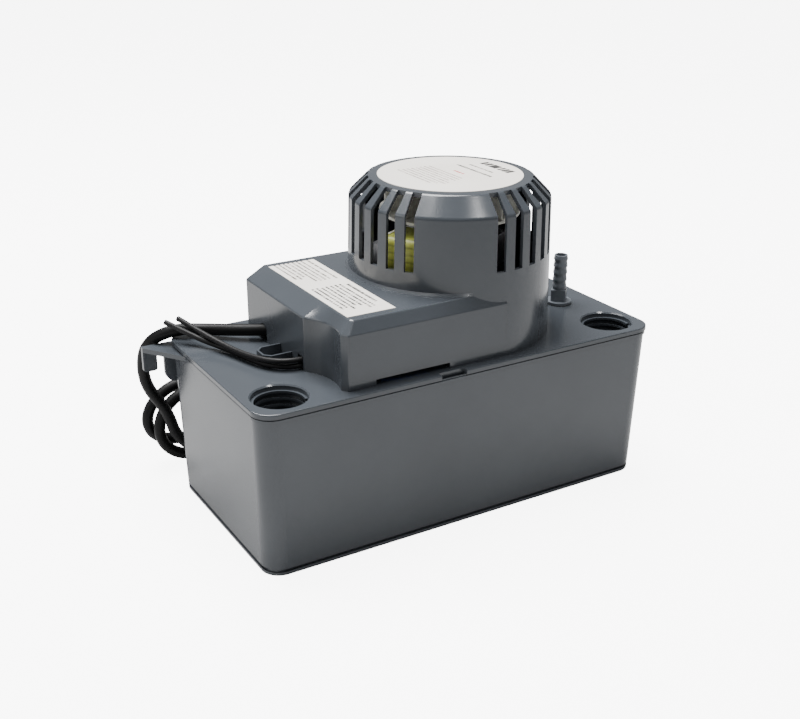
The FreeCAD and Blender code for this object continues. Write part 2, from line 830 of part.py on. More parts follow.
def cord_clip():
    out = BOX_LEFT - CLIP_OUT
    near = BOX_LEFT - CLIP_GAP
    top = DECK_TOP + CLIP_HEIGHT

    def outline(inset):
        cut = CLIP_CORNER - inset * 0.4
        left = out + inset
        low = CLIP_FRONT + inset
        high = CLIP_BACK - inset
        return [(near, low), (left + cut, low), (left, low + cut), (left, high - cut), (left + cut, high), (near, high)]

    ring = plate_xy(outline(0.0), DECK_TOP - 1, top)
    hollow = plate_xy([(x + (1 if x == near else 0), y) for x, y in outline(CLIP_WALL)], DECK_TOP, top + 1)
    return ring.cut(hollow)


def make_deck_lid():
    plate = rounded_block(DECK_LENGTH, DECK_WIDTH, DECK_CORNER, TANK_TOP, DECK_TOP)
    plate = plate.makeFillet(DECK_EDGE_ROUND, edges_at(plate, DECK_TOP))
    length, width = tank_size(TANK_TOP, TANK_WALL + SKIRT_GAP)
    corner = TANK_CORNER - TANK_WALL - SKIRT_GAP
    skirt = rounded_block(length, width, corner, TANK_TOP - SKIRT_HEIGHT, TANK_TOP)
    inner = rounded_block(
        length - 2 * SKIRT_THICK,
        width - 2 * SKIRT_THICK,
        corner - SKIRT_THICK,
        TANK_TOP - SKIRT_HEIGHT - 1,
        TANK_TOP + 1,
    )
    cord_z = CORD_ROUTE[0][2]
    saddle = clamp_block(DECK_TOP - 1, cord_z - CLAMP_SPLIT / 2)
    guide = post(ROD_GUIDE_BOSS, TANK_TOP - ROD_GUIDE_DROP, TANK_TOP + 1, ROD_X, 0)
    lid = plate.fuse([skirt.cut(inner), saddle, cord_clip(), guide])
    cuts = [post(INLET_RADIUS, TANK_TOP - SKIRT_HEIGHT - 1, DECK_TOP + 1, x, y) for x, y in INLET_SPOTS]
    for x, y in INLET_SPOTS:
        mouth = [
            (0.0, DECK_TOP + 0.1),
            (INLET_RADIUS + DECK_EDGE_ROUND, DECK_TOP + 0.1),
            (INLET_RADIUS + DECK_EDGE_ROUND, DECK_TOP),
            (INLET_RADIUS, DECK_TOP - DECK_EDGE_ROUND),
            (0.0, DECK_TOP - DECK_EDGE_ROUND),
        ]
        cuts.append(turned(mouth, x, y))
    cuts.append(post(SHAFT_HOLE, TANK_TOP - 1, DECK_TOP + 1, DOME_X, DOME_Y))
    cuts.append(post(VALVE_STEM + VALVE_STEM_GAP, TANK_TOP - 1, DECK_TOP + 1, VALVE_X, VALVE_Y))
    guide_bottom = TANK_TOP - ROD_GUIDE_DROP - 1
    cuts.append(post(ROD_RADIUS + ROD_GUIDE_GAP, guide_bottom, DECK_TOP + 1, ROD_X, 0))
    cuts.append(cord_bore(CORD_RADIUS + CORD_FIT, clamp_middle()[0], CLAMP_HALF))
    for x, y in cover_boss_spots():
        cuts.append(post(COVER_SCREW_RADIUS + SCREW_GAP, TANK_TOP - 1, DECK_TOP + 1, x, y))
    for x, y in mount_screw_spots():
        cuts.append(post(MOUNT_SCREW_RADIUS + SCREW_GAP, TANK_TOP - 1, DECK_TOP + 1, x, y))
    for x, y in bracket_screw_spots():
        cuts.append(post(BRACKET_SCREW_RADIUS + SCREW_GAP, TANK_TOP - 1, DECK_TOP + 1, x, y))
    for x, y in clamp_screw_spots():
        cuts.append(post(CLAMP_SCREW_RADIUS + SCREW_GAP, DECK_TOP, cord_z + 1, x, y))
    front = -DECK_WIDTH / 2
    cuts.append(
        box(
            NOTCH_X - NOTCH_WIDTH / 2,
            NOTCH_X + NOTCH_WIDTH / 2,
            front - 1,
            front + NOTCH_DEPTH,
            TANK_TOP - 1,
            DECK_TOP + 1,
        )
    )
    lid = lid.cut(cuts)
    ribs = [inlet_ribs(x, y) for x, y in INLET_SPOTS]
    return lid.fuse(ribs).removeSplitter()


# Motor cover
def box_part(inset, low, lift=0.0):
    # The lower outline has a scallop round the left inlet; the upper one is a straight rectangle.
    left = BOX_LEFT + inset
    back = BOX_BACK - inset
    front = BOX_FRONT + inset
    radius = SCALLOP_RADIUS + inset
    cx = SCALLOP_X
    cy = SCALLOP_Y
    start_y = cy + math.sqrt(radius**2 - (left - cx) ** 2)
    end_turn = math.asin((front + SCALLOP_CORNER + 1.5 - cy) / radius)
    start_turn = math.atan2(start_y - cy, left - cx)
    mid_turn = (start_turn + end_turn) / 2
    scallop = [Vec(cx + radius * math.cos(t), cy + radius * math.sin(t), 0) for t in (start_turn, mid_turn, end_turn)]
    corner = Vec(scallop[2].x + SCALLOP_CORNER, front, 0)
    right = DOME_X
    wall_top = BOX_WALL_TOP - inset * 0.4
    top = BOX_TOP - inset
    inner_left = BOX_LEFT + BOX_LEFT_BEVEL + inset * 0.55
    inner_front = BOX_FRONT + BOX_FRONT_BEVEL + inset * 0.55

    def outline(z, upper):
        lift_z = Vec(0, 0, z)
        if upper:
            spots = [
                Vec(inner_left, back, 0),
                Vec(inner_left, start_y, 0),
                Vec(inner_left, scallop[2].y + 2.0, 0),
                Vec(inner_left + 1.5, inner_front, 0),
                Vec(right, inner_front, 0),
                Vec(right, back, 0),
            ]
        else:
            spots = [Vec(left, back, 0), scallop[0], scallop[2], corner, Vec(right, front, 0), Vec(right, back, 0)]
        spots = [spot + lift_z for spot in spots]
        edges = []
        for index in range(len(spots)):
            here = spots[index]
            there = spots[(index + 1) % len(spots)]
            if index == 1 and not upper:
                edges.append(Part.Arc(here, scallop[1] + lift_z, there).toShape())
            else:
                edges.append(Part.LineSegment(here, there).toShape())
        return Part.Wire(edges)

    base = Part.Face(outline(low - lift, False)).extrude(Vec(0, 0, wall_top - low + lift))
    cap = Part.makeLoft([outline(wall_top, False), outline(top, True)], True, True)
    return base.fuse(cap).removeSplitter()


def rounded_box_part():
    block = box_part(0.0, DECK_TOP)
    chosen = []
    for edge in block.Edges:
        extent = edge.BoundBox
        if extent.ZMax > DECK_TOP + 1 and extent.XMin < DOME_X - 1:
            chosen.append(edge)
    return block.makeFillet(COVER_EDGE_ROUND, chosen)


def rounded_dome_part():
    dome = dome_part(0.0, DECK_TOP)
    chosen = edges_at(dome, DOME_SHOULDER_Z) + edges_at(dome, DOME_TOP)
    return dome.makeFillet(DOME_EDGE_ROUND, chosen)


def dome_part(inset, low):
    slope = (DOME_FOOT_RADIUS - DOME_SHOULDER_RADIUS) / (DOME_SHOULDER_Z - DECK_TOP)
    foot = DOME_FOOT_RADIUS - inset + slope * (DECK_TOP - low)
    return turned(
        [
            (0.0, low),
            (foot, low),
            (DOME_SHOULDER_RADIUS - inset, DOME_SHOULDER_Z - inset * 0.41),
            (DOME_FLAT_RADIUS - inset * 0.41, DOME_TOP - inset),
            (0.0, DOME_TOP - inset),
        ],
        DOME_X,
        DOME_Y,
    )


def vent_tools():
    tools = []
    for side in (-1, 1):
        for index in range(VENT_COUNT):
            angle = VENT_CENTRE + side * (VENT_FIRST + index * VENT_PITCH)
            half = VENT_WIDTH / 2
            slot = box(VENT_INNER, DOME_FOOT_RADIUS + 2, -half, half, VENT_BOTTOM, DOME_TOP + 2)
            slot.rotate(Vec(0, 0, 0), Vec(0, 0, 1), angle)
            tools.append(at_dome(slot))
    return tools


def foot_ring():
    ring = turned(
        [
            (DOME_SHOULDER_RADIUS - 1, BOX_TOP - 1),
            (RING_RADIUS, BOX_TOP - 1),
            (RING_RADIUS, BOX_TOP),
            (DOME_SHOULDER_RADIUS, BOX_TOP + RING_HEIGHT),
            (DOME_SHOULDER_RADIUS - 1, BOX_TOP + RING_HEIGHT),
        ],
        DOME_X,
        DOME_Y,
    )
    front = BOX_FRONT + BOX_FRONT_BEVEL
    keep = box(BOX_LEFT, DOME_X, front, BOX_BACK, BOX_TOP - 1, BOX_TOP + RING_HEIGHT + 1)
    return ring.common(keep)


def make_motor_cover():
    outer = rounded_box_part().fuse([rounded_dome_part(), foot_ring()])
    inner = box_part(COVER_WALL, DECK_TOP, 1.0).fuse(dome_part(COVER_WALL, DECK_TOP - 1))
    cover = outer.cut(inner)
    cover = cover.cut(vent_tools())
    cuts = [
        box(FRONT_SLOT_LEFT, FRONT_SLOT_RIGHT, BOX_FRONT - 2, BOX_FRONT + COVER_WALL + 2, DECK_TOP - 1,
            DECK_TOP + FRONT_SLOT_HEIGHT),
        cord_notch(),
        box(BOX_LEFT - 2, BOX_LEFT + COVER_WALL + 2, LEAD_NOTCH_FRONT, LEAD_NOTCH_BACK, DECK_TOP - 1, LEAD_NOTCH_TOP),
    ]
    notch = box(DOME_FOOT_RADIUS - COVER_WALL - 2, DOME_FOOT_RADIUS + 2, -FOOT_NOTCH_WIDTH / 2,
                FOOT_NOTCH_WIDTH / 2, DECK_TOP - 1, DECK_TOP + FOOT_NOTCH_HEIGHT)
    notch.rotate(Vec(0, 0, 0), Vec(0, 0, 1), FOOT_NOTCH_ANGLE)
    cuts.append(at_dome(notch))
    cover = cover.cut(cuts)
    bosses = [post(COVER_BOSS_RADIUS, DECK_TOP, DECK_TOP + COVER_BOSS_HEIGHT, x, y) for x, y in cover_boss_spots()]
    cover = cover.fuse([boss.common(outer) for boss in bosses])
    holes = [
        post(COVER_SCREW_RADIUS + SCREW_GAP, DECK_TOP - 1, DECK_TOP + COVER_SCREW_GRIP + 1, x, y)
        for x, y in cover_boss_spots()
    ]
    return cover.cut(holes).removeSplitter()


def make_labels():
    data = box(
        DATA_LABEL_LEFT,
        DATA_LABEL_LEFT + DATA_LABEL_WIDTH,
        DATA_LABEL_FRONT,
        DATA_LABEL_FRONT + DATA_LABEL_LENGTH,
        BOX_TOP,
        BOX_TOP + LABEL_THICK,
    )
    top = post(TOP_LABEL_RADIUS, DOME_TOP, DOME_TOP + LABEL_THICK, DOME_X, DOME_Y)
    return {"data_label": data, "top_label": top}


# Motor
def stator_core():
    core = box(STACK_REAR, STACK_FRONT, -STACK_HALF_WIDTH, STACK_HALF_WIDTH, STACK_BOTTOM, STACK_TOP)
    low = STACK_BOTTOM - 1
    high = STACK_TOP + 1
    cuts = [
        box(WINDOW_REAR, WINDOW_FRONT, -WINDOW_HALF, WINDOW_HALF, low, high),
        post(ROTOR_RADIUS + AIR_GAP, low, high),
        box(0, WINDOW_REAR + 1, -1.0, 1.0, low, high),
    ]
    for side in (-1, 1):
        cuts.append(post(MOTOR_SCREW_RADIUS + SCREW_GAP, low, high, 0, side * MOTOR_SCREW_OFFSET))
        cuts.append(box(STACK_FRONT, STACK_FRONT + 1, -1, 1, low, high))
    for angle in (SHADING_ANGLE, SHADING_ANGLE + 180):
        turn = math.radians(angle)
        for reach in (SHADING_INNER, SHADING_OUTER):
            cuts.append(post(SHADING_WIRE + SCREW_GAP, low, high, reach * math.cos(turn), reach * math.sin(turn)))
    for side in (-1, 1):
        corner = box(STACK_REAR - 1, STACK_REAR + 7, -5, 5, low, high)
        corner.rotate(Vec(STACK_REAR, 0, 0), Vec(0, 0, 1), 45)
        corner.translate(Vec(-2, side * (STACK_HALF_WIDTH + 2), 0))
        cuts.append(corner)
    return core.cut(cuts).removeSplitter()


def coil_section(grow, half, corner):
    low = STACK_BOTTOM - grow
    high = STACK_TOP + grow
    block = box(WINDOW_FRONT - grow, STACK_FRONT + grow, -half, half, low, high)
    if corner:
        long_edges = [edge for edge in block.Edges if edge.BoundBox.YLength > half]
        block = block.makeFillet(corner, long_edges)
    return block


def make_coil():
    hole = coil_section(BOBBIN_GAP, BOBBIN_HALF + 2, 0)
    tube = coil_section(BOBBIN_GAP + BOBBIN_WALL, BOBBIN_HALF, 0)
    flange = coil_section(COIL_BUILD + FLANGE_PROUD, BOBBIN_HALF, COIL_CORNER)
    gap = coil_section(COIL_BUILD + 5, BOBBIN_HALF - BOBBIN_FLANGE, 0)
    bobbin = tube.fuse(flange.cut(gap)).cut(hole)
    coil = coil_section(COIL_BUILD, BOBBIN_HALF - BOBBIN_FLANGE, COIL_CORNER)
    winding = coil.cut(coil_section(BOBBIN_GAP + BOBBIN_WALL, BOBBIN_HALF, 0))
    return bobbin.removeSplitter(), winding.removeSplitter()


def shading_rings():
    rings = []
    low = STACK_BOTTOM - SHADING_WIRE
    high = STACK_TOP + SHADING_WIRE
    for angle in (SHADING_ANGLE, SHADING_ANGLE + 180):
        inner_leg = post(SHADING_WIRE, low, high, SHADING_INNER, 0)
        outer_leg = post(SHADING_WIRE, low, high, SHADING_OUTER, 0)
        span = SHADING_WIRE
        bars = [
            box(SHADING_INNER - span, SHADING_OUTER + span, -span, span, low - 0.8, STACK_BOTTOM - 0.05),
            box(SHADING_INNER - span, SHADING_OUTER + span, -span, span, STACK_TOP + 0.05, high + 0.8),
        ]
        ring = inner_leg.fuse([outer_leg] + bars).removeSplitter()
        ring.rotate(Vec(0, 0, 0), Vec(0, 0, 1), angle)
        rings.append(ring)
    return Part.makeCompound(rings)


def bearing_bracket(bar_near, bar_far, stack_face, hub_near, hub_far):
    low = min(bar_near, bar_far)
    high = max(bar_near, bar_far)
    bar = box(-BRACKET_HALF, BRACKET_HALF, -STACK_HALF_WIDTH, STACK_HALF_WIDTH, low, high)
    hub = post(HUB_RADIUS, min(hub_near, hub_far), max(hub_near, hub_far))
    feet = []
    holes = [post(BEARING_RADIUS + BEARING_SEAT_GAP, min(hub_near, hub_far) - 1, max(hub_near, hub_far) + 1)]
    for side in (-1, 1):
        y = side * MOTOR_SCREW_OFFSET
        feet.append(post(BRACKET_FOOT, min(stack_face, bar_near), max(stack_face, bar_near), 0, y))
        holes.append(post(MOTOR_SCREW_RADIUS + SCREW_GAP, low - BRACKET_STAND - 1, high + BRACKET_STAND + 1, 0, y))
    return bar.fuse([hub] + feet).cut(holes).removeSplitter()


def motor_mount():
    base = post(MOUNT_RADIUS, DECK_TOP, DECK_TOP + MOUNT_THICK)
    ring = pipe(MOUNT_RING_OUTER, MOUNT_RING_INNER, DECK_TOP, MOUNT_RING_TOP)
    parts = [ring]
    for side in (-1, 1):
        parts.append(post(MOUNT_POST, DECK_TOP, LOWER_BAR - BRACKET_THICK, 0, side * MOTOR_SCREW_OFFSET))
    mount = base.fuse(parts)
    cuts = [post(SHAFT_HOLE, DECK_TOP - 1, DECK_TOP + MOUNT_THICK + 1)]
    window_low = DECK_TOP + MOUNT_THICK + 2
    cuts.append(box(-40, 40, -8, 8, window_low, MOUNT_RING_TOP + 1))
    for angle in (MOUNT_SCREW_ANGLE, 180 - MOUNT_SCREW_ANGLE, 180 + MOUNT_SCREW_ANGLE, -MOUNT_SCREW_ANGLE):
        turn = math.radians(angle)
        x = MOUNT_SCREW_CIRCLE * math.cos(turn)
        y = MOUNT_SCREW_CIRCLE * math.sin(turn)
        cuts.append(post(MOUNT_SCREW_RADIUS + SCREW_GAP, DECK_TOP - 1, DECK_TOP + MOUNT_THICK + 1, x, y))
        head_room = MOUNT_SCREW_RADIUS * HEAD_RATIO + SCREW_GAP
        cuts.append(post(head_room, DECK_TOP + MOUNT_THICK, MOUNT_RING_TOP + 1, x, y))
    for side in (-1, 1):
        top = LOWER_BAR - BRACKET_THICK
        cuts.append(post(MOTOR_SCREW_RADIUS + SCREW_GAP, top - 13, top + 1, 0, side * MOTOR_SCREW_OFFSET))
    return mount.cut(cuts).removeSplitter()


def make_motor():
    hub_low = (LOWER_BAR - BRACKET_THICK - HUB_OVERHANG, LOWER_BAR + HUB_OVERHANG)
    hub_high = (UPPER_BAR - HUB_OVERHANG, UPPER_BAR + BRACKET_THICK + HUB_OVERHANG)
    bobbin, winding = make_coil()
    screws = []
    for side in (-1, 1):
        head_z = UPPER_BAR + BRACKET_THICK
        tip_z = LOWER_BAR - BRACKET_THICK - 12
        screws.append(screw(MOTOR_SCREW_RADIUS, head_z, tip_z, 0, side * MOTOR_SCREW_OFFSET))
    bore = SHAFT_RADIUS + SHAFT_GAP
    nodes = {
        "stator_core": stator_core(),
        "coil_bobbin": bobbin,
        "coil_winding": winding,
        "shading_rings": shading_rings(),
        "lower_bearing_bracket": bearing_bracket(LOWER_BAR, LOWER_BAR - BRACKET_THICK, STACK_BOTTOM, *hub_low),
        "upper_bearing_bracket": bearing_bracket(UPPER_BAR, UPPER_BAR + BRACKET_THICK, STACK_TOP, *hub_high),
        "lower_bearing": pipe(BEARING_RADIUS, bore, *hub_low),
        "upper_bearing": pipe(BEARING_RADIUS, bore, *hub_high),
        "motor_screws": Part.makeCompound(screws),
        "motor_mount": motor_mount(),
    }
    return {name: at_motor(shape) for name, shape in nodes.items()}


def cooling_fan():
    disc = post(FAN_RADIUS, FAN_DISC_Z, FAN_DISC_Z + FAN_DISC_THICK)
    top = FAN_DISC_Z + FAN_DISC_THICK + FAN_BLADE_HEIGHT
    hub = post(FAN_HUB_RADIUS, FAN_DISC_Z - FAN_HUB_DROP, top)
    blades = []
    for turn in around(FAN_BLADE_COUNT):
        blade = box(FAN_BLADE_INNER, FAN_RADIUS - 1, -FAN_BLADE_THICK / 2, FAN_BLADE_THICK / 2, FAN_DISC_Z, top)
        blade.rotate(Vec(FAN_BLADE_INNER, 0, 0), Vec(0, 0, 1), 25)
        blade = blade.common(post(FAN_RADIUS, FAN_DISC_Z, top))
        blade.rotate(Vec(0, 0, 0), Vec(0, 0, 1), math.degrees(turn))
        blades.append(blade)
    fan = disc.fuse([hub] + blades)
    return fan.cut(post(SHAFT_RADIUS, FAN_DISC_Z - 5, top + 1)).removeSplitter()


def impeller():
    hub_top = IMPELLER_DISC_Z + IMPELLER_DISC_THICK
    hub = post(IMPELLER_HUB, IMPELLER_BLADE_BOTTOM, hub_top)
    disc = post(IMPELLER_RADIUS, IMPELLER_DISC_Z, hub_top)
    blades = []
    for turn in around(IMPELLER_BLADES):
        half = IMPELLER_BLADE_THICK / 2
        blade = box(IMPELLER_HUB - 1, IMPELLER_RADIUS - 0.5, -half, half, IMPELLER_BLADE_BOTTOM, hub_top)
        blade.rotate(Vec(0, 0, 0), Vec(0, 0, 1), math.degrees(turn))
        blades.append(blade)
    body = hub.fuse([disc] + blades)
    return body.cut(post(SHAFT_RADIUS, SHAFT_BOTTOM, hub_top + 1)).removeSplitter()


def make_rotor():
    core = pipe(ROTOR_RADIUS, SHAFT_RADIUS, STACK_BOTTOM, STACK_TOP)
    lower = pipe(ROTOR_RADIUS - 0.5, SHAFT_RADIUS + 2, STACK_BOTTOM - END_RING_HEIGHT, STACK_BOTTOM)
    upper = pipe(ROTOR_RADIUS - 0.5, SHAFT_RADIUS + 2, STACK_TOP, STACK_TOP + END_RING_HEIGHT)
    nodes = {
        "motor_shaft": post(SHAFT_RADIUS, SHAFT_BOTTOM, SHAFT_TOP),
        "rotor_core": core,
        "rotor_end_rings": Part.makeCompound([lower, upper]),
        "cooling_fan": cooling_fan(),
        "shaft_slinger": pipe(SLINGER_RADIUS, SHAFT_RADIUS, SLINGER_Z, SLINGER_Z + SLINGER_THICK),
        "impeller": impeller(),
    }
    return {name: at_dome(shape) for name, shape in nodes.items()}


# Pump
def make_pump():
    flange_low = TANK_TOP - COLUMN_FLANGE
    column = pipe(COLUMN_OUTER, COLUMN_INNER, VOLUTE_TOP, TANK_TOP)
    flange = pipe(MOUNT_RADIUS, COLUMN_INNER, flange_low, TANK_TOP)
    seat = pipe(VOLUTE_OUTER - VOLUTE_SEAT, COLUMN_INNER, VOLUTE_TOP, VOLUTE_TOP + VOLUTE_ROOF)
    column = at_dome(column.fuse([flange, seat]))
    bosses = [
        post(COLUMN_BOSS, flange_low - COLUMN_BOSS_HEIGHT, TANK_TOP, x, y) for x, y in mount_screw_spots()
    ]
    column = column.fuse(bosses)
    cuts = [
        post(MOUNT_SCREW_RADIUS + SCREW_GAP, flange_low - COLUMN_BOSS_HEIGHT + 1, TANK_TOP + 1, x, y)
        for x, y in mount_screw_spots()
    ]
    for turn in around(3, 30.0):
        window = box(0, COLUMN_OUTER + 1, -COLUMN_SLOT_WIDTH / 2, COLUMN_SLOT_WIDTH / 2, COLUMN_SLOT_BOTTOM,
                     COLUMN_SLOT_TOP)
        window.rotate(Vec(0, 0, 0), Vec(0, 0, 1), math.degrees(turn))
        cuts.append(at_dome(window))
    column = column.cut(cuts).removeSplitter()

    body = at_dome(post(VOLUTE_OUTER, VOLUTE_BOTTOM, VOLUTE_TOP))
    spigot_end = DOME_X + VOLUTE_OUTER + SPIGOT_LENGTH
    body = body.fuse(rod_along_x(SPIGOT_OUTER, DOME_X + VOLUTE_OUTER - 3, spigot_end, VALVE_Y, OUTLET_Z))
    cuts = [
        at_dome(post(VOLUTE_INNER, VOLUTE_BOTTOM - 1, VOLUTE_TOP - VOLUTE_ROOF)),
        at_dome(post(SHAFT_RADIUS + 1, VOLUTE_BOTTOM, VOLUTE_TOP + 1)),
        rod_along_x(SPIGOT_INNER, DOME_X + VOLUTE_INNER - 3, spigot_end + 1, VALVE_Y, OUTLET_Z),
    ]
    screws = []
    plate = at_dome(pipe(VOLUTE_OUTER, EYE_RADIUS, VOLUTE_BOTTOM - COVER_PLATE_THICK, VOLUTE_BOTTOM))
    plate_low = VOLUTE_BOTTOM - COVER_PLATE_THICK
    legs = []
    for turn in around(3, 90.0):
        x = DOME_X + STRAINER_LEG_CIRCLE * math.cos(turn)
        y = DOME_Y + STRAINER_LEG_CIRCLE * math.sin(turn)
        legs.append(post(STRAINER_LEG, plate_low - STRAINER_LEG_HEIGHT, plate_low, x, y))
    plate = plate.fuse(legs)
    plate_holes = []
    for turn in around(VOLUTE_SCREW_COUNT, 45.0):
        x = DOME_X + VOLUTE_SCREW_CIRCLE * math.cos(turn)
        y = DOME_Y + VOLUTE_SCREW_CIRCLE * math.sin(turn)
        cuts.append(post(VOLUTE_SCREW_RADIUS + SCREW_GAP, VOLUTE_BOTTOM - 1, VOLUTE_BOTTOM + 9, x, y))
        plate_holes.append(post(VOLUTE_SCREW_RADIUS + SCREW_GAP, plate_low - 1, VOLUTE_BOTTOM + 1, x, y))
        screws.append(screw(VOLUTE_SCREW_RADIUS, plate_low, VOLUTE_BOTTOM + 8, x, y))
    return {
        "pump_column": column,
        "volute_housing": body.cut(cuts).removeSplitter(),
        "volute_cover": plate.cut(plate_holes).removeSplitter(),
        "volute_screws": Part.makeCompound(screws),
    }


def make_discharge_tube():
    start = DOME_X + VOLUTE_OUTER
    end = SEAT_FLOOR_BOTTOM
    corner = Vec(VALVE_X, VALVE_Y, OUTLET_Z)
    turn_in = corner - Vec(HOSE_BEND, 0, 0)
    turn_out = corner + Vec(0, 0, HOSE_BEND)
    centre = corner + Vec(-HOSE_BEND, 0, HOSE_BEND)
    mid = centre + Vec(1, 0, -1).normalize() * HOSE_BEND
    first = Vec(start, VALVE_Y, OUTLET_Z)
    last = Vec(VALVE_X, VALVE_Y, end)
    edges = [
        Part.LineSegment(first, turn_in).toShape(),
        Part.Arc(turn_in, mid, turn_out).toShape(),
        Part.LineSegment(turn_out, last).toShape(),
    ]
    wire = Part.Wire(edges)
    bore = SPIGOT_OUTER + HOSE_GAP
    outer = wire.makePipeShell([Part.Wire([Part.makeCircle(bore + HOSE_WALL, first, Vec(1, 0, 0))])], True, True)
    inner = wire.makePipeShell([Part.Wire([Part.makeCircle(bore, first, Vec(1, 0, 0))])], True, True)
    return outer.cut(inner)


# Check valve
def barb_profile(low):
    points = [(0.0, low), (BARB_ROOT, low)]
    pitch = BARB_LENGTH / BARB_COUNT
    for index in range(BARB_COUNT):
        base = low + index * pitch
        crest = base + pitch * 0.35
        points.append((BARB_ROOT, crest))
        points.append((BARB_CREST, crest))
        points.append((BARB_CREST, crest + BARB_LAND))
        points.append((BARB_ROOT, base + pitch))
    points.append((0.0, low + BARB_LENGTH))
    return points


def make_check_valve():
    flange_low = DECK_TOP + GASKET_THICK
    flange_top = flange_low + VALVE_FLANGE_THICK
    collar_top = flange_top + COLLAR_HEIGHT
    flange = post(VALVE_FLANGE_RADIUS, flange_low, flange_top)
    half = COLLAR_SIDE / 2
    collar = box(-half, half, -half, half, flange_top, collar_top)
    upright = [edge for edge in collar.Edges if edge.BoundBox.ZLength > half]
    collar = collar.makeChamfer(0.6, upright)
    collar.rotate(Vec(0, 0, 0), Vec(0, 0, 1), 45)
    barb = turned(barb_profile(collar_top))
    stem = post(VALVE_STEM, VALVE_STEM_BOTTOM, flange_low)
    body = flange.fuse([collar, barb, stem])
    bore = post(BARB_BORE, CHAMBER_TOP - 1, collar_top + BARB_LENGTH + 1)
    chamber = post(CHAMBER_RADIUS, VALVE_STEM_BOTTOM - 1, CHAMBER_TOP)
    body = body.cut(bore.fuse(chamber)).removeSplitter()

    seat = post(SEAT_OUTER, SEAT_FLOOR_BOTTOM, TANK_TOP)
    seat = seat.cut(post(VALVE_STEM + VALVE_STEM_GAP, SEAT_FLOOR_TOP, TANK_TOP + 1))
    spigot = post(SPIGOT_OUTER, SEAT_FLOOR_BOTTOM - SPIGOT_LENGTH, SEAT_FLOOR_BOTTOM)
    seat = seat.fuse(spigot).cut(post(SEAT_HOLE, SEAT_FLOOR_BOTTOM - SPIGOT_LENGTH - 1, SEAT_FLOOR_TOP + 1))
    gasket = pipe(GASKET_RADIUS, VALVE_STEM + VALVE_STEM_GAP, DECK_TOP, flange_low)
    ball_z = SEAT_FLOOR_TOP + math.sqrt(BALL_RADIUS**2 - SEAT_HOLE**2) + BALL_GAP
    ball = Part.makeSphere(BALL_RADIUS, Vec(0, 0, ball_z))
    nodes = {
        "check_valve_body": body,
        "valve_seat": seat.removeSplitter(),
        "valve_gasket": gasket,
        "check_ball": ball,
    }
    for shape in nodes.values():
        shape.translate(Vec(VALVE_X, VALVE_Y, 0))
    return nodes


# Float and push rod
def float_arm():
    pad = PIVOT_Z
    hub = rod_along_y(ARM_HUB, -ARM_HUB_HALF, ARM_HUB_HALF, PIVOT_X, PIVOT_Z)
    foot_top = FLOAT_TOP + ARM_FOOT_THICK
    beam = plate_xz(
        [
            (PIVOT_X, pad),
            (ARM_PAD_LEFT, pad),
            (ARM_FOOT_LEFT + 6, foot_top + 2),
            (ARM_FOOT_LEFT + 6, FLOAT_TOP),
            (ARM_FOOT_RIGHT - 4, FLOAT_TOP),
            (ARM_FOOT_RIGHT - 4, foot_top + 2),
            (ARM_PAD_LEFT + 2, pad - ARM_DEPTH),
            (PIVOT_X, pad - ARM_HUB),
        ],
        -ARM_HALF,
        ARM_HALF,
    )
    foot = box(ARM_FOOT_LEFT, ARM_FOOT_RIGHT, -ARM_FOOT_HALF, ARM_FOOT_HALF, FLOAT_TOP, foot_top)
    arm = hub.fuse([beam, foot])
    hole = rod_along_y(PIVOT_PIN_RADIUS + PIVOT_GAP, -ARM_HUB_HALF - 1, ARM_HUB_HALF + 1, PIVOT_X, PIVOT_Z)
    return arm.cut(hole).removeSplitter()


def float_block():
    block = box(FLOAT_LEFT, FLOAT_RIGHT, -FLOAT_HALF_WIDTH, FLOAT_HALF_WIDTH, FLOAT_BOTTOM, FLOAT_TOP)
    upright = [edge for edge in block.Edges if edge.BoundBox.ZLength > 1]
    return block.makeFillet(FLOAT_ROUND, upright)


def switch_rod():
    low = PIVOT_Z + ROD_END_GAP
    tip = Part.makeSphere(ROD_RADIUS, Vec(ROD_X, 0, low + ROD_RADIUS))
    rod = post(ROD_RADIUS, low + ROD_RADIUS, BAR_Z, ROD_X, 0)
    bar = rod_along_y(BAR_RADIUS, -BAR_HALF, BAR_HALF, ROD_X, BAR_Z)
    return rod.fuse([tip, bar]).removeSplitter()


def float_bracket():
    low = TANK_TOP - FLOAT_BRACKET_THICK
    half = BRACKET_SCREW_HALF + BRACKET_BOSS_RADIUS
    plate = box(BRACKET_LEFT, FLOAT_BRACKET_RIGHT, -half, half, low, TANK_TOP)
    parts = []
    for side in (-1, 1):
        inner = side * EAR_HALF_GAP
        outer = side * (EAR_HALF_GAP + EAR_THICK)
        left = PIVOT_X - EAR_HALF_LENGTH
        right = PIVOT_X + EAR_HALF_LENGTH
        parts.append(box(left, right, min(inner, outer), max(inner, outer), EAR_BOTTOM, low))
    for x, y in bracket_screw_spots():
        parts.append(post(BRACKET_BOSS_RADIUS, low - BRACKET_BOSS_HEIGHT, low, x, y))
    body = plate.fuse(parts)
    reach = EAR_HALF_GAP + EAR_THICK + 1
    cuts = [
        rod_along_y(PIVOT_PIN_RADIUS + 0.02, -reach, reach, PIVOT_X, PIVOT_Z),
        post(ROD_GUIDE_BOSS + SKIRT_GAP, low - 1, TANK_TOP + 1, ROD_X, 0),
    ]
    for x, y in bracket_screw_spots():
        cuts.append(post(BRACKET_SCREW_RADIUS + SCREW_GAP, low - BRACKET_BOSS_HEIGHT + 1, TANK_TOP + 1, x, y))
    return body.cut(cuts).removeSplitter()


# Switches
def switch_hole_xs():
    first = SWITCH_LEFT + (SWITCH_LENGTH - SWITCH_HOLE_SPACING) / 2
    return [first, first + SWITCH_HOLE_SPACING]


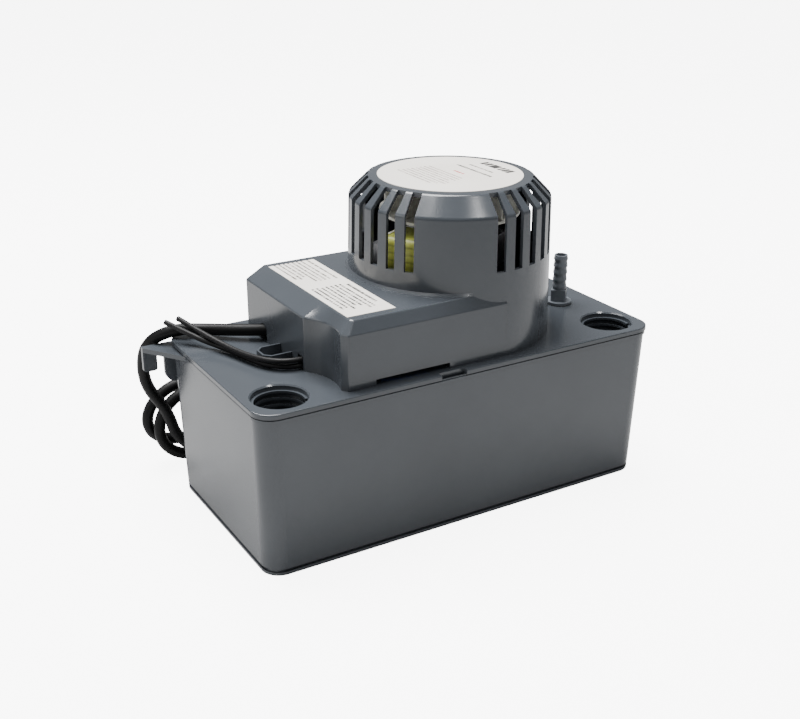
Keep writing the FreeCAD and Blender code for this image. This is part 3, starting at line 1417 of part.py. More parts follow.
def snap_switch(side):
    near = side * SWITCH_INNER
    far = side * (SWITCH_INNER + SWITCH_THICK)
    low_y = min(near, far)
    high_y = max(near, far)
    mid_y = (near + far) / 2
    body = box(SWITCH_LEFT, SWITCH_LEFT + SWITCH_LENGTH, low_y, high_y, SWITCH_BOTTOM, SWITCH_BOTTOM + SWITCH_HEIGHT)
    parts = []
    for way in (-1, 1):
        inner = mid_y + way * (LEVER_WIDTH / 2 + LEVER_GAP)
        outer = inner + way * LUG_WIDTH
        left = LEVER_PIVOT_X - LUG_HALF_LENGTH
        right = LEVER_PIVOT_X + LUG_HALF_LENGTH
        parts.append(box(left, right, min(inner, outer), max(inner, outer), LUG_BOTTOM, SWITCH_BOTTOM))
    tab_low = SWITCH_BOTTOM + 3
    for index in range(TERMINAL_COUNT):
        z = tab_low + index * (SWITCH_HEIGHT - 6) / (TERMINAL_COUNT - 1)
        left = SWITCH_LEFT - TERMINAL_LENGTH
        parts.append(box(left, SWITCH_LEFT, mid_y - 1.5, mid_y + 1.5, z - 0.25, z + 0.25))
    body = body.fuse(parts)
    pin_x = LEVER_PIVOT_X + PLUNGER_REACH
    cuts = [
        rod_along_y(LEVER_BARREL + PIVOT_GAP, low_y - 1, high_y + 1, LEVER_PIVOT_X, LEVER_PIVOT_Z),
        post(PLUNGER_RADIUS + PLUNGER_GAP, SWITCH_BOTTOM - 1, PLUNGER_TOP + PLUNGER_ROOM, pin_x, mid_y),
    ]
    for x in switch_hole_xs():
        cuts.append(rod_along_y(SWITCH_HOLE_RADIUS, low_y - 1, high_y + 1, x, SWITCH_HOLE_Z))
    return body.cut(cuts).removeSplitter()


def switch_lever(side):
    mid_y = side * (SWITCH_INNER + SWITCH_THICK / 2)
    half = LEVER_WIDTH / 2
    reach = half + LEVER_GAP + LUG_WIDTH
    blade = box(0, LEVER_LENGTH, mid_y - half, mid_y + half, -LEVER_THICK / 2, LEVER_THICK / 2)
    barrel = rod_along_y(LEVER_BARREL, mid_y - reach, mid_y + reach, 0, 0)
    lever = blade.fuse(barrel).removeSplitter()
    lever.rotate(Vec(0, 0, 0), Vec(0, 1, 0), LEVER_SLOPE)
    lever.translate(Vec(LEVER_PIVOT_X, 0, LEVER_PIVOT_Z))
    return lever


def switch_plunger(side):
    mid_y = side * (SWITCH_INNER + SWITCH_THICK / 2)
    slope = math.tan(math.radians(LEVER_SLOPE))
    tip = LEVER_PIVOT_Z + LEVER_THICK / 2 - (PLUNGER_REACH - PLUNGER_RADIUS) * slope + LEVER_GAP
    return post(PLUNGER_RADIUS, tip, PLUNGER_TOP, LEVER_PIVOT_X + PLUNGER_REACH, mid_y)


def switch_bracket():
    outer = SWITCH_INNER + SWITCH_THICK + BRACKET_SIDE
    base_top = DECK_TOP + BRACKET_BASE
    base = box(BRACKET_LEFT, BRACKET_RIGHT, -outer, outer, DECK_TOP, base_top)
    sides = []
    for way in (-1, 1):
        inner_y = way * (SWITCH_INNER + SWITCH_THICK)
        outer_y = way * outer
        left = SWITCH_LEFT + 1
        right = SWITCH_LEFT + SWITCH_LENGTH - 1
        sides.append(box(left, right, min(inner_y, outer_y), max(inner_y, outer_y), DECK_TOP, BRACKET_TOP))
    body = base.fuse(sides)
    cuts = [post(ROD_GUIDE_BOSS, DECK_TOP - 1, base_top + 1, ROD_X, 0)]
    for x, y in bracket_screw_spots():
        cuts.append(post(BRACKET_SCREW_RADIUS + SCREW_GAP, DECK_TOP - 1, base_top + 1, x, y))
    for x in switch_hole_xs():
        cuts.append(rod_along_y(SWITCH_HOLE_RADIUS, -outer - 1, outer + 1, x, SWITCH_HOLE_Z))
    return body.cut(cuts).removeSplitter()


def switch_fixings():
    outer = SWITCH_INNER + SWITCH_THICK + BRACKET_SIDE
    screws = []
    spacers = []
    for x in switch_hole_xs():
        shank = rod_along_y(SWITCH_SCREW_RADIUS, -outer, outer + 2, x, SWITCH_HOLE_Z)
        head = rod_along_y(SWITCH_SCREW_RADIUS * HEAD_RATIO, -outer - HEAD_HEIGHT, -outer, x, SWITCH_HOLE_Z)
        screws.append(shank.fuse(head))
        sleeve = rod_along_y(SPACER_RADIUS, -SWITCH_INNER, SWITCH_INNER, x, SWITCH_HOLE_Z)
        spacers.append(sleeve.cut(rod_along_y(SWITCH_HOLE_RADIUS, -SWITCH_INNER - 1, SWITCH_INNER + 1, x, SWITCH_HOLE_Z)))
    return Part.makeCompound(screws), Part.makeCompound(spacers)


def make_float_switches():
    screws, spacers = switch_fixings()
    reach = EAR_HALF_GAP + EAR_THICK + 1
    nodes = {
        "float": float_block(),
        "float_arm": float_arm(),
        "float_bracket": float_bracket(),
        "float_pivot_pin": rod_along_y(PIVOT_PIN_RADIUS, -reach, reach, PIVOT_X, PIVOT_Z),
        "switch_rod": switch_rod(),
        "switch_bracket": switch_bracket(),
        "switch_screws": screws,
        "switch_spacers": spacers,
    }
    for name, side in SWITCH_SIDES.items():
        nodes[name] = snap_switch(side)
        nodes[name + "_lever"] = switch_lever(side)
        nodes[name + "_plunger"] = switch_plunger(side)
    return nodes


# Screws that go through the lid
def make_lid_screws():
    tip = TANK_TOP - FLOAT_BRACKET_THICK - BRACKET_BOSS_HEIGHT + 1.5
    column_tip = TANK_TOP - COLUMN_FLANGE - COLUMN_BOSS_HEIGHT + 1.5
    cover_tip = DECK_TOP + COVER_SCREW_GRIP
    return {
        "cover_screws": Part.makeCompound(
            [screw(COVER_SCREW_RADIUS, TANK_TOP, cover_tip, x, y) for x, y in cover_boss_spots()]
        ),
        "mount_screws": Part.makeCompound(
            [screw(MOUNT_SCREW_RADIUS, DECK_TOP + MOUNT_THICK, column_tip, x, y) for x, y in mount_screw_spots()]
        ),
        "bracket_screws": Part.makeCompound(
            [screw(BRACKET_SCREW_RADIUS, DECK_TOP + BRACKET_BASE, tip, x, y) for x, y in bracket_screw_spots()]
        ),
        "clamp_screws": Part.makeCompound(
            [screw(CLAMP_SCREW_RADIUS, CLAMP_TOP, DECK_TOP + 1, x, y) for x, y in clamp_screw_spots()]
        ),
    }


# Wiring
def make_wiring():
    block = box(BLOCK_LEFT, BLOCK_RIGHT, BLOCK_FRONT, BLOCK_BACK, DECK_TOP, DECK_TOP + BLOCK_HEIGHT)
    pitch = (BLOCK_BACK - BLOCK_FRONT) / BLOCK_WELLS
    wells = []
    middle = (BLOCK_LEFT + BLOCK_RIGHT) / 2
    top = DECK_TOP + BLOCK_HEIGHT
    for index in range(BLOCK_WELLS):
        y = BLOCK_FRONT + pitch * (index + 0.5)
        for x in (middle - 3.4, middle + 3.4):
            wells.append(post(BLOCK_WELL_RADIUS, top - BLOCK_WELL_DEPTH, top + 1, x, y))
        if index:
            low = y - pitch / 2
            wells.append(box(BLOCK_LEFT - 1, BLOCK_RIGHT + 1, low - 0.4, low + 0.4, top - 2, top + 1))
    cord_z = CORD_ROUTE[0][2]
    clamp = clamp_block(cord_z + CLAMP_SPLIT / 2, CLAMP_TOP)
    cuts = [cord_bore(CORD_RADIUS + CORD_FIT, clamp_middle()[0], CLAMP_HALF)]
    for x, y in clamp_screw_spots():
        cuts.append(post(CLAMP_SCREW_RADIUS + SCREW_GAP, cord_z - 1, CLAMP_TOP + 1, x, y))
    return {
        "terminal_block": block.cut(wells).removeSplitter(),
        "cord_clamp": clamp.cut(cuts).removeSplitter(),
        "wire_blue": route_tube("wire_blue", BLUE_WIRE_ROUTE, WIRE_RADIUS),
        "wire_black": route_tube("wire_black", BLACK_WIRE_ROUTE, WIRE_RADIUS),
    }


# Cords
def hank_solid():
    low = CORD_RADIUS * 0.05
    middle = low + HANK_BEND
    top = low + 2 * HANK_BEND
    left = HANK_LEFT
    right = HANK_RIGHT
    y = HANK_FRONT
    a = Vec(left, y, low)
    b = Vec(right, y, low)
    c = Vec(right, y, top)
    d = Vec(left, y, top)
    waist_right = Vec(HANK_WAIST + HANK_WAIST_HALF, y, HANK_WAIST_TOP)
    waist_left = Vec(HANK_WAIST - HANK_WAIST_HALF, y, HANK_WAIST_TOP)
    edges = [
        Part.LineSegment(a, b).toShape(),
        Part.Arc(b, Vec(right + HANK_BEND, y, middle), c).toShape(),
        Part.LineSegment(c, waist_right).toShape(),
        Part.LineSegment(waist_right, waist_left).toShape(),
        Part.LineSegment(waist_left, d).toShape(),
        Part.Arc(d, Vec(left - HANK_BEND, y, middle), a).toShape(),
    ]
    return Part.Face(Part.Wire(edges)).extrude(Vec(0, HANK_BACK - HANK_FRONT, 0))


def cord_tie():
    left = HANK_WAIST - TIE_WIDTH / 2
    right = HANK_WAIST + TIE_WIDTH / 2
    low = CORD_RADIUS * 0.05
    front = HANK_FRONT - TIE_GAP
    back = HANK_BACK + TIE_GAP
    top = HANK_WAIST_TOP + TIE_GAP
    outer = box(left, right, front - TIE_THICK, back + TIE_THICK, low, top + TIE_THICK)
    return outer.cut(box(left - 1, right + 1, front, back, low - 1, top))


def make_plug():
    relief_end = PLUG_START + PLUG_RELIEF_LENGTH
    start = Vec(PLUG_START, 0, 0)
    relief = Part.makeCone(CORD_RADIUS + 0.6, PLUG_RELIEF_RADIUS, PLUG_RELIEF_LENGTH, start, Vec(1, 0, 0))
    body = box(relief_end, relief_end + PLUG_LENGTH, -PLUG_WIDTH / 2, PLUG_WIDTH / 2, -PLUG_HEIGHT / 2, PLUG_HEIGHT / 2)
    long_edges = [edge for edge in body.Edges if edge.BoundBox.XLength > 1]
    body = body.makeFillet(PLUG_ROUND, long_edges).fuse(relief)
    face = relief_end + PLUG_LENGTH
    blades = []
    for side in (-1, 1):
        y = side * BLADE_SPACING / 2
        blades.append(box(face, face + BLADE_LENGTH, y - BLADE_THICK / 2, y + BLADE_THICK / 2, -BLADE_WIDTH / 2 + 3,
                          BLADE_WIDTH / 2 + 3))
    blades.append(rod_along_x(EARTH_PIN_RADIUS, face, face + BLADE_LENGTH + 2, 0, 3 - EARTH_PIN_DROP))
    metal = Part.makeCompound(blades)
    body = body.removeSplitter()
    for shape in (body, metal):
        shape.translate(Vec(0, PLUG_Y, PLUG_Z))
    return {"power_plug": body, "plug_blades": metal}


def make_cords():
    nodes = {
        "power_cord": route_tube("power_cord", CORD_ROUTE, CORD_RADIUS),
        "power_cord_hank": hank_solid(),
        "power_cord_tail": route_tube("power_cord_tail", TAIL_ROUTE, CORD_RADIUS),
        "cord_tie": cord_tie(),
        "switch_lead_upper": route_tube("switch_lead_upper", UPPER_LEAD_ROUTE, LEAD_RADIUS),
        "switch_lead_lower": route_tube("switch_lead_lower", LOWER_LEAD_ROUTE, LEAD_RADIUS),
    }
    nodes.update(make_plug())
    return nodes


def main():
    os.makedirs("parts", exist_ok=True)
    nodes = {"tank": make_tank(), "deck_lid": make_deck_lid(), "motor_cover": make_motor_cover()}
    nodes.update(make_labels())
    nodes.update(make_motor())
    nodes.update(make_rotor())
    nodes.update(make_pump())
    nodes["discharge_tube"] = make_discharge_tube()
    nodes.update(make_check_valve())
    nodes.update(make_float_switches())
    nodes.update(make_lid_screws())
    nodes.update(make_wiring())
    nodes.update(make_cords())
    for name, shape in nodes.items():
        shape.exportStep("parts/" + name + ".step")
    print(len(nodes), "nodes; switch rod travel", round(ROD_TRAVEL, 3), "lever turn", round(LEVER_SLOPE, 3))
    print("ball travel", BALL_TRAVEL, "bar height", round(BAR_Z, 2))


main()
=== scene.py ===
"""Condensate pump on a pale studio floor: cords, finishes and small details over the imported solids.

Sizes are in metres, or in millimetres where a docstring says so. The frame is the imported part's:
X along the tank, Y to its back, Z up.
"""

import logging
import math
from dataclasses import dataclass, field
from enum import Enum

import bmesh
import bpy
from mathutils import Matrix, Vector


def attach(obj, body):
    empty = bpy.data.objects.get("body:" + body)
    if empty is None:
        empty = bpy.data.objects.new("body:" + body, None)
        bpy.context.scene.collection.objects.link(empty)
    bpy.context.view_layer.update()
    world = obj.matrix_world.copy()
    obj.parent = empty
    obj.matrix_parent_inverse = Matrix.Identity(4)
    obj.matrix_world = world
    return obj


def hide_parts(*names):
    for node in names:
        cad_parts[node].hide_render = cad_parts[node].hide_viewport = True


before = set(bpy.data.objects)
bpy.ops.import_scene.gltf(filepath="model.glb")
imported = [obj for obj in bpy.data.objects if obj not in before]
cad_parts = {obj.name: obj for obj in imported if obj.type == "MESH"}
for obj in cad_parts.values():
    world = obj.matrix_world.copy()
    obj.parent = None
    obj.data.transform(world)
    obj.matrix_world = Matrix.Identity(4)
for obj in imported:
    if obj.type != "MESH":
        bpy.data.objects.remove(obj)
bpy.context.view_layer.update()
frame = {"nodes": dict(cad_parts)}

LOG = logging.getLogger("condensate_pump")
MM = 0.001
SRGB_KNEE = 0.04045
SRGB_SLOPE = 12.92
SRGB_LIFT = 0.055
SRGB_POWER = 2.4
SHARP_ANGLE = math.radians(35)
CORD_STEPS = 8
CORD_RING_STEPS = 5

Colour = tuple[float, float, float]
Point = tuple[float, float, float]
Socket = bpy.types.NodeSocket


class Axis(Enum):
    """An axis of the part's frame, by its place in a vector."""

    X = 0
    Y = 1
    Z = 2


class Body(Enum):
    """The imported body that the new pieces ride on."""

    HOUSING = "housing"


def spectrum(red: int, green: int, blue: int) -> Colour:
    """Turns a screen colour from 0 to 255 into linear light.

    Args:
        red: The red part.
        green: The green part.
        blue: The blue part.

    Returns:
        The three linear values.
    """
    made = []
    for part in (red, green, blue):
        share = part / 255
        if share <= SRGB_KNEE:
            made.append(share / SRGB_SLOPE)
        else:
            made.append(((share + SRGB_LIFT) / (1 + SRGB_LIFT)) ** SRGB_POWER)
    return made[0], made[1], made[2]


class Graph:
    """Adds and links the nodes of one shader tree."""

    def __init__(self, tree: bpy.types.NodeTree) -> None:
        """Keeps the tree."""
        self.tree = tree

    def node(self, kind: str, **settings: object) -> bpy.types.Node:
        """Adds one node.

        Args:
            kind: The node's class name.
            **settings: Properties of the node.

        Returns:
            The new node.
        """
        made = self.tree.nodes.new(kind)
        for name, value in settings.items():
            setattr(made, name, value)
        return made

    def join(self, source: object, target: Socket) -> None:
        """Links a socket, or sets a plain value on the target.

        Args:
            source: The socket or value.
            target: The input that takes it.
        """
        if isinstance(source, Socket):
            self.tree.links.new(source, target)
        else:
            target.default_value = source

    def maths(self, operation: str, *values: object) -> Socket:
        """Adds a Math node.

        Args:
            operation: The node's operation.
            *values: Up to three sockets or numbers.

        Returns:
            The node's output.
        """
        made = self.node("ShaderNodeMath", operation=operation)
        for index, value in enumerate(values):
            self.join(value, made.inputs[index])
        return made.outputs[0]

    def span(
        self, value: object, low: float, high: float, start: object, end: object
    ) -> Socket:
        """Maps a value from low..high to start..end.

        Args:
            value: The value's socket.
            low: The value that gives start.
            high: The value that gives end.
            start: The lowest result.
            end: The highest result.

        Returns:
            The mapped value.
        """
        made = self.node("ShaderNodeMapRange")
        for index, item in enumerate((value, low, high, start, end)):
            self.join(item, made.inputs[index])
        return made.outputs[0]

    def noise(self, vector: object, scale: object, detail: float = 2.0) -> Socket:
        """Adds a Noise node.

        Args:
            vector: The coordinates.
            scale: Features in a metre.
            detail: How many octaves.

        Returns:
            The noise's value.
        """
        made = self.node("ShaderNodeTexNoise")
        self.join(vector, made.inputs["Vector"])
        self.join(scale, made.inputs["Scale"])
        made.inputs["Detail"].default_value = detail
        return made.outputs[0]

    def blend(self, share: object, low: object, high: object) -> Socket:
        """Mixes two colours.

        Args:
            share: How much of the second.
            low: The first colour.
            high: The second colour.

        Returns:
            The mixed colour.
        """
        made = self.node("ShaderNodeMix", data_type="RGBA")
        self.join(share, made.inputs[0])
        for item, socket in ((low, made.inputs[6]), (high, made.inputs[7])):
            self.join((*item, 1.0) if isinstance(item, tuple) else item, socket)
        return made.outputs[2]

    def axes(self, vector: Socket) -> list[Socket]:
        """Splits a vector into its three values.

        Args:
            vector: The vector's socket.

        Returns:
            The values along X, Y and Z.
        """
        made = self.node("ShaderNodeSeparateXYZ")
        self.join(vector, made.inputs[0])
        return list(made.outputs)

    def place(self) -> Socket:
        """Gives the Object coordinates.

        Returns:
            The coordinates' socket.
        """
        return self.node("ShaderNodeTexCoord").outputs["Object"]


class Effect:
    """A shader node group with named inputs and outputs, built once."""

    title = "effect"
    inputs: dict[str, tuple[str, object]] = {}
    outputs: dict[str, str] = {}

    def __init__(self) -> None:
        """Builds the group."""
        self.tree = bpy.data.node_groups.new(self.title, "ShaderNodeTree")
        for name, (kind, value) in self.inputs.items():
            socket = self.tree.interface.new_socket(
                name=name, in_out="INPUT", socket_type=kind
            )
            if value is not None:
                socket.default_value = value
        for name, kind in self.outputs.items():
            self.tree.interface.new_socket(name=name, in_out="OUTPUT", socket_type=kind)
        graph = Graph(self.tree)
        source = graph.node("NodeGroupInput")
        target = graph.node("NodeGroupOutput")
        for name, result in self.work(graph, source.outputs).items():
            graph.join(result, target.inputs[name])

    def work(self, graph: Graph, given: bpy.types.NodeInputs) -> dict[str, Socket]:
        """Adds the group's own nodes.

        Args:
            graph: The group's graph.
            given: The group's inputs.

        Returns:
            The results by output name.
        """
        raise NotImplementedError

    def use(self, graph: Graph, **values: object) -> bpy.types.NodeOutputs:
        """Places the group in a material.

        Args:
            graph: The material's graph.
            **values: Sockets or values, with _ for a space in an input's name.

        Returns:
            The placed group's outputs.
        """
        placed = graph.node("ShaderNodeGroup", node_tree=self.tree)
        for name, value in values.items():
            socket = placed.inputs[name.replace("_", " ")]
            plain_colour = isinstance(value, tuple) and len(value) == 3
            graph.join((*value, 1.0) if plain_colour else value, socket)
        return placed.outputs


FLOAT_SOCKET = "NodeSocketFloat"
COLOUR_SOCKET = "NodeSocketColor"
VECTOR_SOCKET = "NodeSocketVector"


class Mottle(Effect):
    """Slow drift between two close colours.

    Attributes:
        edges: The noise values where the drift starts and ends.
    """

    title = "mottle"
    edges = (0.35, 0.65)
    inputs = {
        "Vector": (VECTOR_SOCKET, None),
        "Scale": (FLOAT_SOCKET, 20.0),
        "Low": (COLOUR_SOCKET, None),
        "High": (COLOUR_SOCKET, None),
    }
    outputs = {"Colour": COLOUR_SOCKET}

    def work(self, graph: Graph, given: bpy.types.NodeInputs) -> dict[str, Socket]:
        """Mixes the two colours by a soft noise."""
        drift = graph.noise(given["Vector"], given["Scale"], detail=3.0)
        share = graph.span(drift, *self.edges, 0.0, 1.0)
        return {"Colour": graph.blend(share, given["Low"], given["High"])}


class Grain(Effect):
    """Fine moulded grain with a slower waviness under it.

    Attributes:
        slowness: The waviness's scale, as a share of the grain's.
    """

    title = "grain"
    slowness = 0.012
    inputs = {
        "Vector": (VECTOR_SOCKET, None),
        "Scale": (FLOAT_SOCKET, 2500.0),
        "Wave": (FLOAT_SOCKET, 0.4),
    }
    outputs = {"Height": FLOAT_SOCKET}

    def work(self, graph: Graph, given: bpy.types.NodeInputs) -> dict[str, Socket]:
        """Adds a fine noise and a slow one."""
        fine = graph.noise(given["Vector"], given["Scale"], detail=2.0)
        slow_scale = graph.maths("MULTIPLY", given["Scale"], self.slowness)
        slow = graph.noise(given["Vector"], slow_scale, detail=1.0)
        return {"Height": graph.maths("MULTIPLY_ADD", slow, given["Wave"], fine)}


class Wear(Effect):
    """Handling marks: patches that are a little duller, crossed by thin rubbed streaks.

    Attributes:
        patch_edges: The noise values where a patch starts and is full.
        streak_edges: The noise values where a streak starts and is full.
        streak_turn: How the streaks lie, in radians.
        streak_stretch: How much finer the streaks are along each axis.
        streak_scale: The streaks' scale, as a share of the patches'.
        streak_share: How much a streak dulls.
    """

    title = "wear"
    patch_edges = (0.3, 0.7)
    streak_edges = (0.66, 0.72)
    streak_turn = (0.4, 0.3, 0.6)
    streak_stretch = (1.0, 14.0, 5.0)
    streak_scale = 1.7
    streak_share = 0.35
    inputs = {
        "Vector": (VECTOR_SOCKET, None),
        "Scale": (FLOAT_SOCKET, 30.0),
        "Shiny": (FLOAT_SOCKET, 0.3),
        "Dull": (FLOAT_SOCKET, 0.4),
    }
    outputs = {"Roughness": FLOAT_SOCKET, "Streaks": FLOAT_SOCKET}

    def work(self, graph: Graph, given: bpy.types.NodeInputs) -> dict[str, Socket]:
        """Makes the patches and the streaks."""
        cloud = graph.noise(given["Vector"], given["Scale"], detail=4.0)
        patches = graph.span(cloud, *self.patch_edges, 0.0, 1.0)
        stretch = graph.node("ShaderNodeMapping")
        graph.join(given["Vector"], stretch.inputs["Vector"])
        stretch.inputs["Rotation"].default_value = self.streak_turn
        stretch.inputs["Scale"].default_value = self.streak_stretch
        scale = graph.maths("MULTIPLY", given["Scale"], self.streak_scale)
        lines = graph.noise(stretch.outputs[0], scale, detail=3.0)
        streaks = graph.span(lines, *self.streak_edges, 0.0, 1.0)
        share = graph.maths("MULTIPLY_ADD", streaks, self.streak_share, patches)
        width = graph.maths("SUBTRACT", given["Dull"], given["Shiny"])
        return {
            "Roughness": graph.maths("MULTIPLY_ADD", share, width, given["Shiny"]),
            "Streaks": streaks,
        }


class Bands(Effect):
    """Even bands along one value, such as stacked sheets or wound turns."""

    title = "bands"
    inputs = {"Value": (FLOAT_SOCKET, 0.0), "Pitch": (FLOAT_SOCKET, 0.001)}
    outputs = {"Height": FLOAT_SOCKET}

    def work(self, graph: Graph, given: bpy.types.NodeInputs) -> dict[str, Socket]:
        """Turns the value into a row of low humps."""
        bands = graph.maths("DIVIDE", given["Value"], given["Pitch"])
        turn = graph.maths("MULTIPLY", bands, math.tau)
        return {"Height": graph.maths("MULTIPLY_ADD", graph.maths("SINE", turn), 0.5, 0.5)}


class Rules(Effect):
    """Ruled lines with ragged ends and small gaps, in a block of rows.

    Attributes:
        row_step: What sets one row's chance apart from the next one's.
        widest_gap: The longest gap, as a share of a stroke's cell.
    """

    title = "rules"
    row_step = 1.37
    widest_gap = 0.5
    inputs = {
        "Along": (FLOAT_SOCKET, 0.0),
        "Across": (FLOAT_SOCKET, 0.0),
        "Start": (FLOAT_SOCKET, 0.0),
        "Length": (FLOAT_SOCKET, 0.04),
        "First": (FLOAT_SOCKET, 0.0),
        "Pitch": (FLOAT_SOCKET, 0.003),
        "Rows": (FLOAT_SOCKET, 6.0),
        "Weight": (FLOAT_SOCKET, 0.3),
        "Ragged": (FLOAT_SOCKET, 0.3),
        "Cell": (FLOAT_SOCKET, 0.004),
        "Seed": (FLOAT_SOCKET, 1.0),
    }
    outputs = {"Mask": FLOAT_SOCKET}

    def work(self, graph: Graph, given: bpy.types.NodeInputs) -> dict[str, Socket]:
        """Builds the rows, their ends and the gaps, and multiplies them."""
        depth = graph.maths("SUBTRACT", given["Across"], given["First"])
        row = graph.maths("DIVIDE", depth, given["Pitch"])
        index = graph.maths("FLOOR", row)
        inked = graph.maths("LESS_THAN", graph.maths("FRACT", row), given["Weight"])
        rows = self.between(graph, row, given["Rows"])
        chance = graph.node("ShaderNodeTexWhiteNoise", noise_dimensions="1D")
        draw = graph.maths("MULTIPLY_ADD", index, self.row_step, given["Seed"])
        graph.join(draw, chance.inputs["W"])
        cut = graph.maths("MULTIPLY", chance.outputs["Value"], given["Ragged"])
        step = graph.maths("SUBTRACT", given["Along"], given["Start"])
        reach = graph.maths("MULTIPLY", given["Length"], graph.maths("SUBTRACT", 1.0, cut))
        inside = self.between(graph, step, reach)
        cell = graph.maths("DIVIDE", step, given["Cell"])
        pair = graph.node("ShaderNodeTexWhiteNoise", noise_dimensions="2D")
        joined = graph.node("ShaderNodeCombineXYZ")
        graph.join(graph.maths("FLOOR", cell), joined.inputs[0])
        graph.join(graph.maths("ADD", index, given["Seed"]), joined.inputs[1])
        graph.join(joined.outputs[0], pair.inputs["Vector"])
        gap = graph.maths("MULTIPLY", pair.outputs["Value"], self.widest_gap)
        stroke = graph.maths("GREATER_THAN", graph.maths("FRACT", cell), gap)
        mask = inked
        for part in (rows, inside, stroke):
            mask = graph.maths("MULTIPLY", mask, part)
        return {"Mask": mask}

    def between(self, graph: Graph, value: Socket, most: Socket) -> Socket:
        """Marks where a value lies between 0 and a limit.

        Args:
            graph: The group's graph.
            value: The value's socket.
            most: The limit's socket.

        Returns:
            1 inside and 0 outside.
        """
        above = graph.maths("GREATER_THAN", value, 0.0)
        below = graph.maths("LESS_THAN", value, most)
        return graph.maths("MULTIPLY", above, below)


class Effects:
    """The shared node groups, each built once."""

    def __init__(self) -> None:
        """Builds every group."""
        self.mottle = Mottle()
        self.grain = Grain()
        self.wear = Wear()
        self.bands = Bands()
        self.rules = Rules()


WEAR_SCALE = 1.4
COAT_ROUGHNESS = 0.12
SHEEN_ROUGHNESS = 0.4
BAND_GRAIN_SHARE = 0.3
BAND_VALLEY_EDGE = 0.35
BAND_VALLEY_INK = 0.55


@dataclass(frozen=True)
class Finish:
    """One surface finish.

    Attributes:
        slot: The material slot that it dresses.
        low: The darker colour of its mottle.
        high: The lighter colour of its mottle.
        shiny: The lowest roughness.
        dull: The highest roughness.
        metallic: 1 for bare metal.
        grain: Grain features in a metre.
        relief: The grain's height in metres.
        wave: The share of slow waviness in the relief.
        drift: Mottle features in a metre.
        coat: The weight of a clear gloss over the colour.
        sheen: The weight of a soft sheen, as on foam or rubber.
        specular: The strength of the surface's own reflections, 0.5 for most plastics.
    """

    slot: str
    low: Colour
    high: Colour
    shiny: float = 0.3
    dull: float = 0.42
    metallic: float = 0.0
    grain: float = 2600.0
    relief: float = 0.00001
    wave: float = 0.4
    drift: float = 22.0
    coat: float = 0.0
    sheen: float = 0.0
    specular: float = 0.5

    def height(self, graph: Graph, effects: Effects, place: Socket) -> Socket:
        """Gives the relief that the bump reads.

        Args:
            graph: The material's graph.
            effects: The shared node groups.
            place: The Object coordinates.

        Returns:
            The height's socket.
        """
        return effects.grain.use(graph, Vector=place, Scale=self.grain, Wave=self.wave)["Height"]

    def colour(self, graph: Graph, effects: Effects, place: Socket) -> Socket:
        """Gives the base colour.

        Args:
            graph: The material's graph.
            effects: The shared node groups.
            place: The Object coordinates.

        Returns:
            The colour's socket.
        """
        drifting = effects.mottle.use(
            graph, Vector=place, Scale=self.drift, Low=self.low, High=self.high
        )
        return drifting["Colour"]

    def make(self, effects: Effects) -> bpy.types.Material:
        """Builds the material.

        Args:
            effects: The shared node groups.

        Returns:
            The finished material.
        """
        material = bpy.data.materials.new(f"finish_{self.slot}")
        material.use_nodes = True
        graph = Graph(material.node_tree)
        shader = shader_node(material.node_tree, "BSDF_PRINCIPLED")
        place = graph.place()
        graph.join(self.colour(graph, effects, place), shader.inputs["Base Color"])
        worn = effects.wear.use(
            graph, Vector=place, Scale=self.drift * WEAR_SCALE, Shiny=self.shiny, Dull=self.dull
        )
        graph.join(worn["Roughness"], shader.inputs["Roughness"])
        bump = graph.node("ShaderNodeBump")
        bump.inputs["Strength"].default_value = 1.0
        bump.inputs["Distance"].default_value = self.relief
        graph.join(self.height(graph, effects, place), bump.inputs["Height"])
        graph.join(bump.outputs["Normal"], shader.inputs["Normal"])
        shader.inputs["Metallic"].default_value = self.metallic
        shader.inputs["Specular IOR Level"].default_value = self.specular
        shader.inputs["Coat Weight"].default_value = self.coat
        shader.inputs["Coat Roughness"].default_value = COAT_ROUGHNESS
        shader.inputs["Sheen Weight"].default_value = self.sheen
        shader.inputs["Sheen Roughness"].default_value = SHEEN_ROUGHNESS
        material.diffuse_color = (*self.high, 1.0)
        return material


@dataclass(frozen=True)
class BandedFinish(Finish):
    """A finish with even bands, as on stacked sheets, wound turns or ground metal.

    Attributes:
        axis: The axis that the bands are stacked along.
        pitch: The width of one band.
        ink: The colour in the bands' valleys.
    """

    axis: Axis = Axis.Z
    pitch: float = 0.0005
    ink: Colour = (0.05, 0.05, 0.05)

    def band(self, graph: Graph, effects: Effects, place: Socket) -> Socket:
        """Gives the bands' height.

        Args:
            graph: The material's graph.
            effects: The shared node groups.
            place: The Object coordinates.

        Returns:
            The height's socket.
        """
        value = graph.axes(place)[self.axis.value]
        return effects.bands.use(graph, Value=value, Pitch=self.pitch)["Height"]

    def height(self, graph: Graph, effects: Effects, place: Socket) -> Socket:
        """Adds the bands to the grain."""
        fine = super().height(graph, effects, place)
        bands = self.band(graph, effects, place)
        return graph.maths("MULTIPLY_ADD", fine, BAND_GRAIN_SHARE, bands)

    def colour(self, graph: Graph, effects: Effects, place: Socket) -> Socket:
        """Darkens the valleys between the bands."""
        plain = super().colour(graph, effects, place)
        bands = self.band(graph, effects, place)
        share = graph.span(bands, 0.0, BAND_VALLEY_EDGE, BAND_VALLEY_INK, 0.0)
        return graph.blend(share, plain, self.ink)


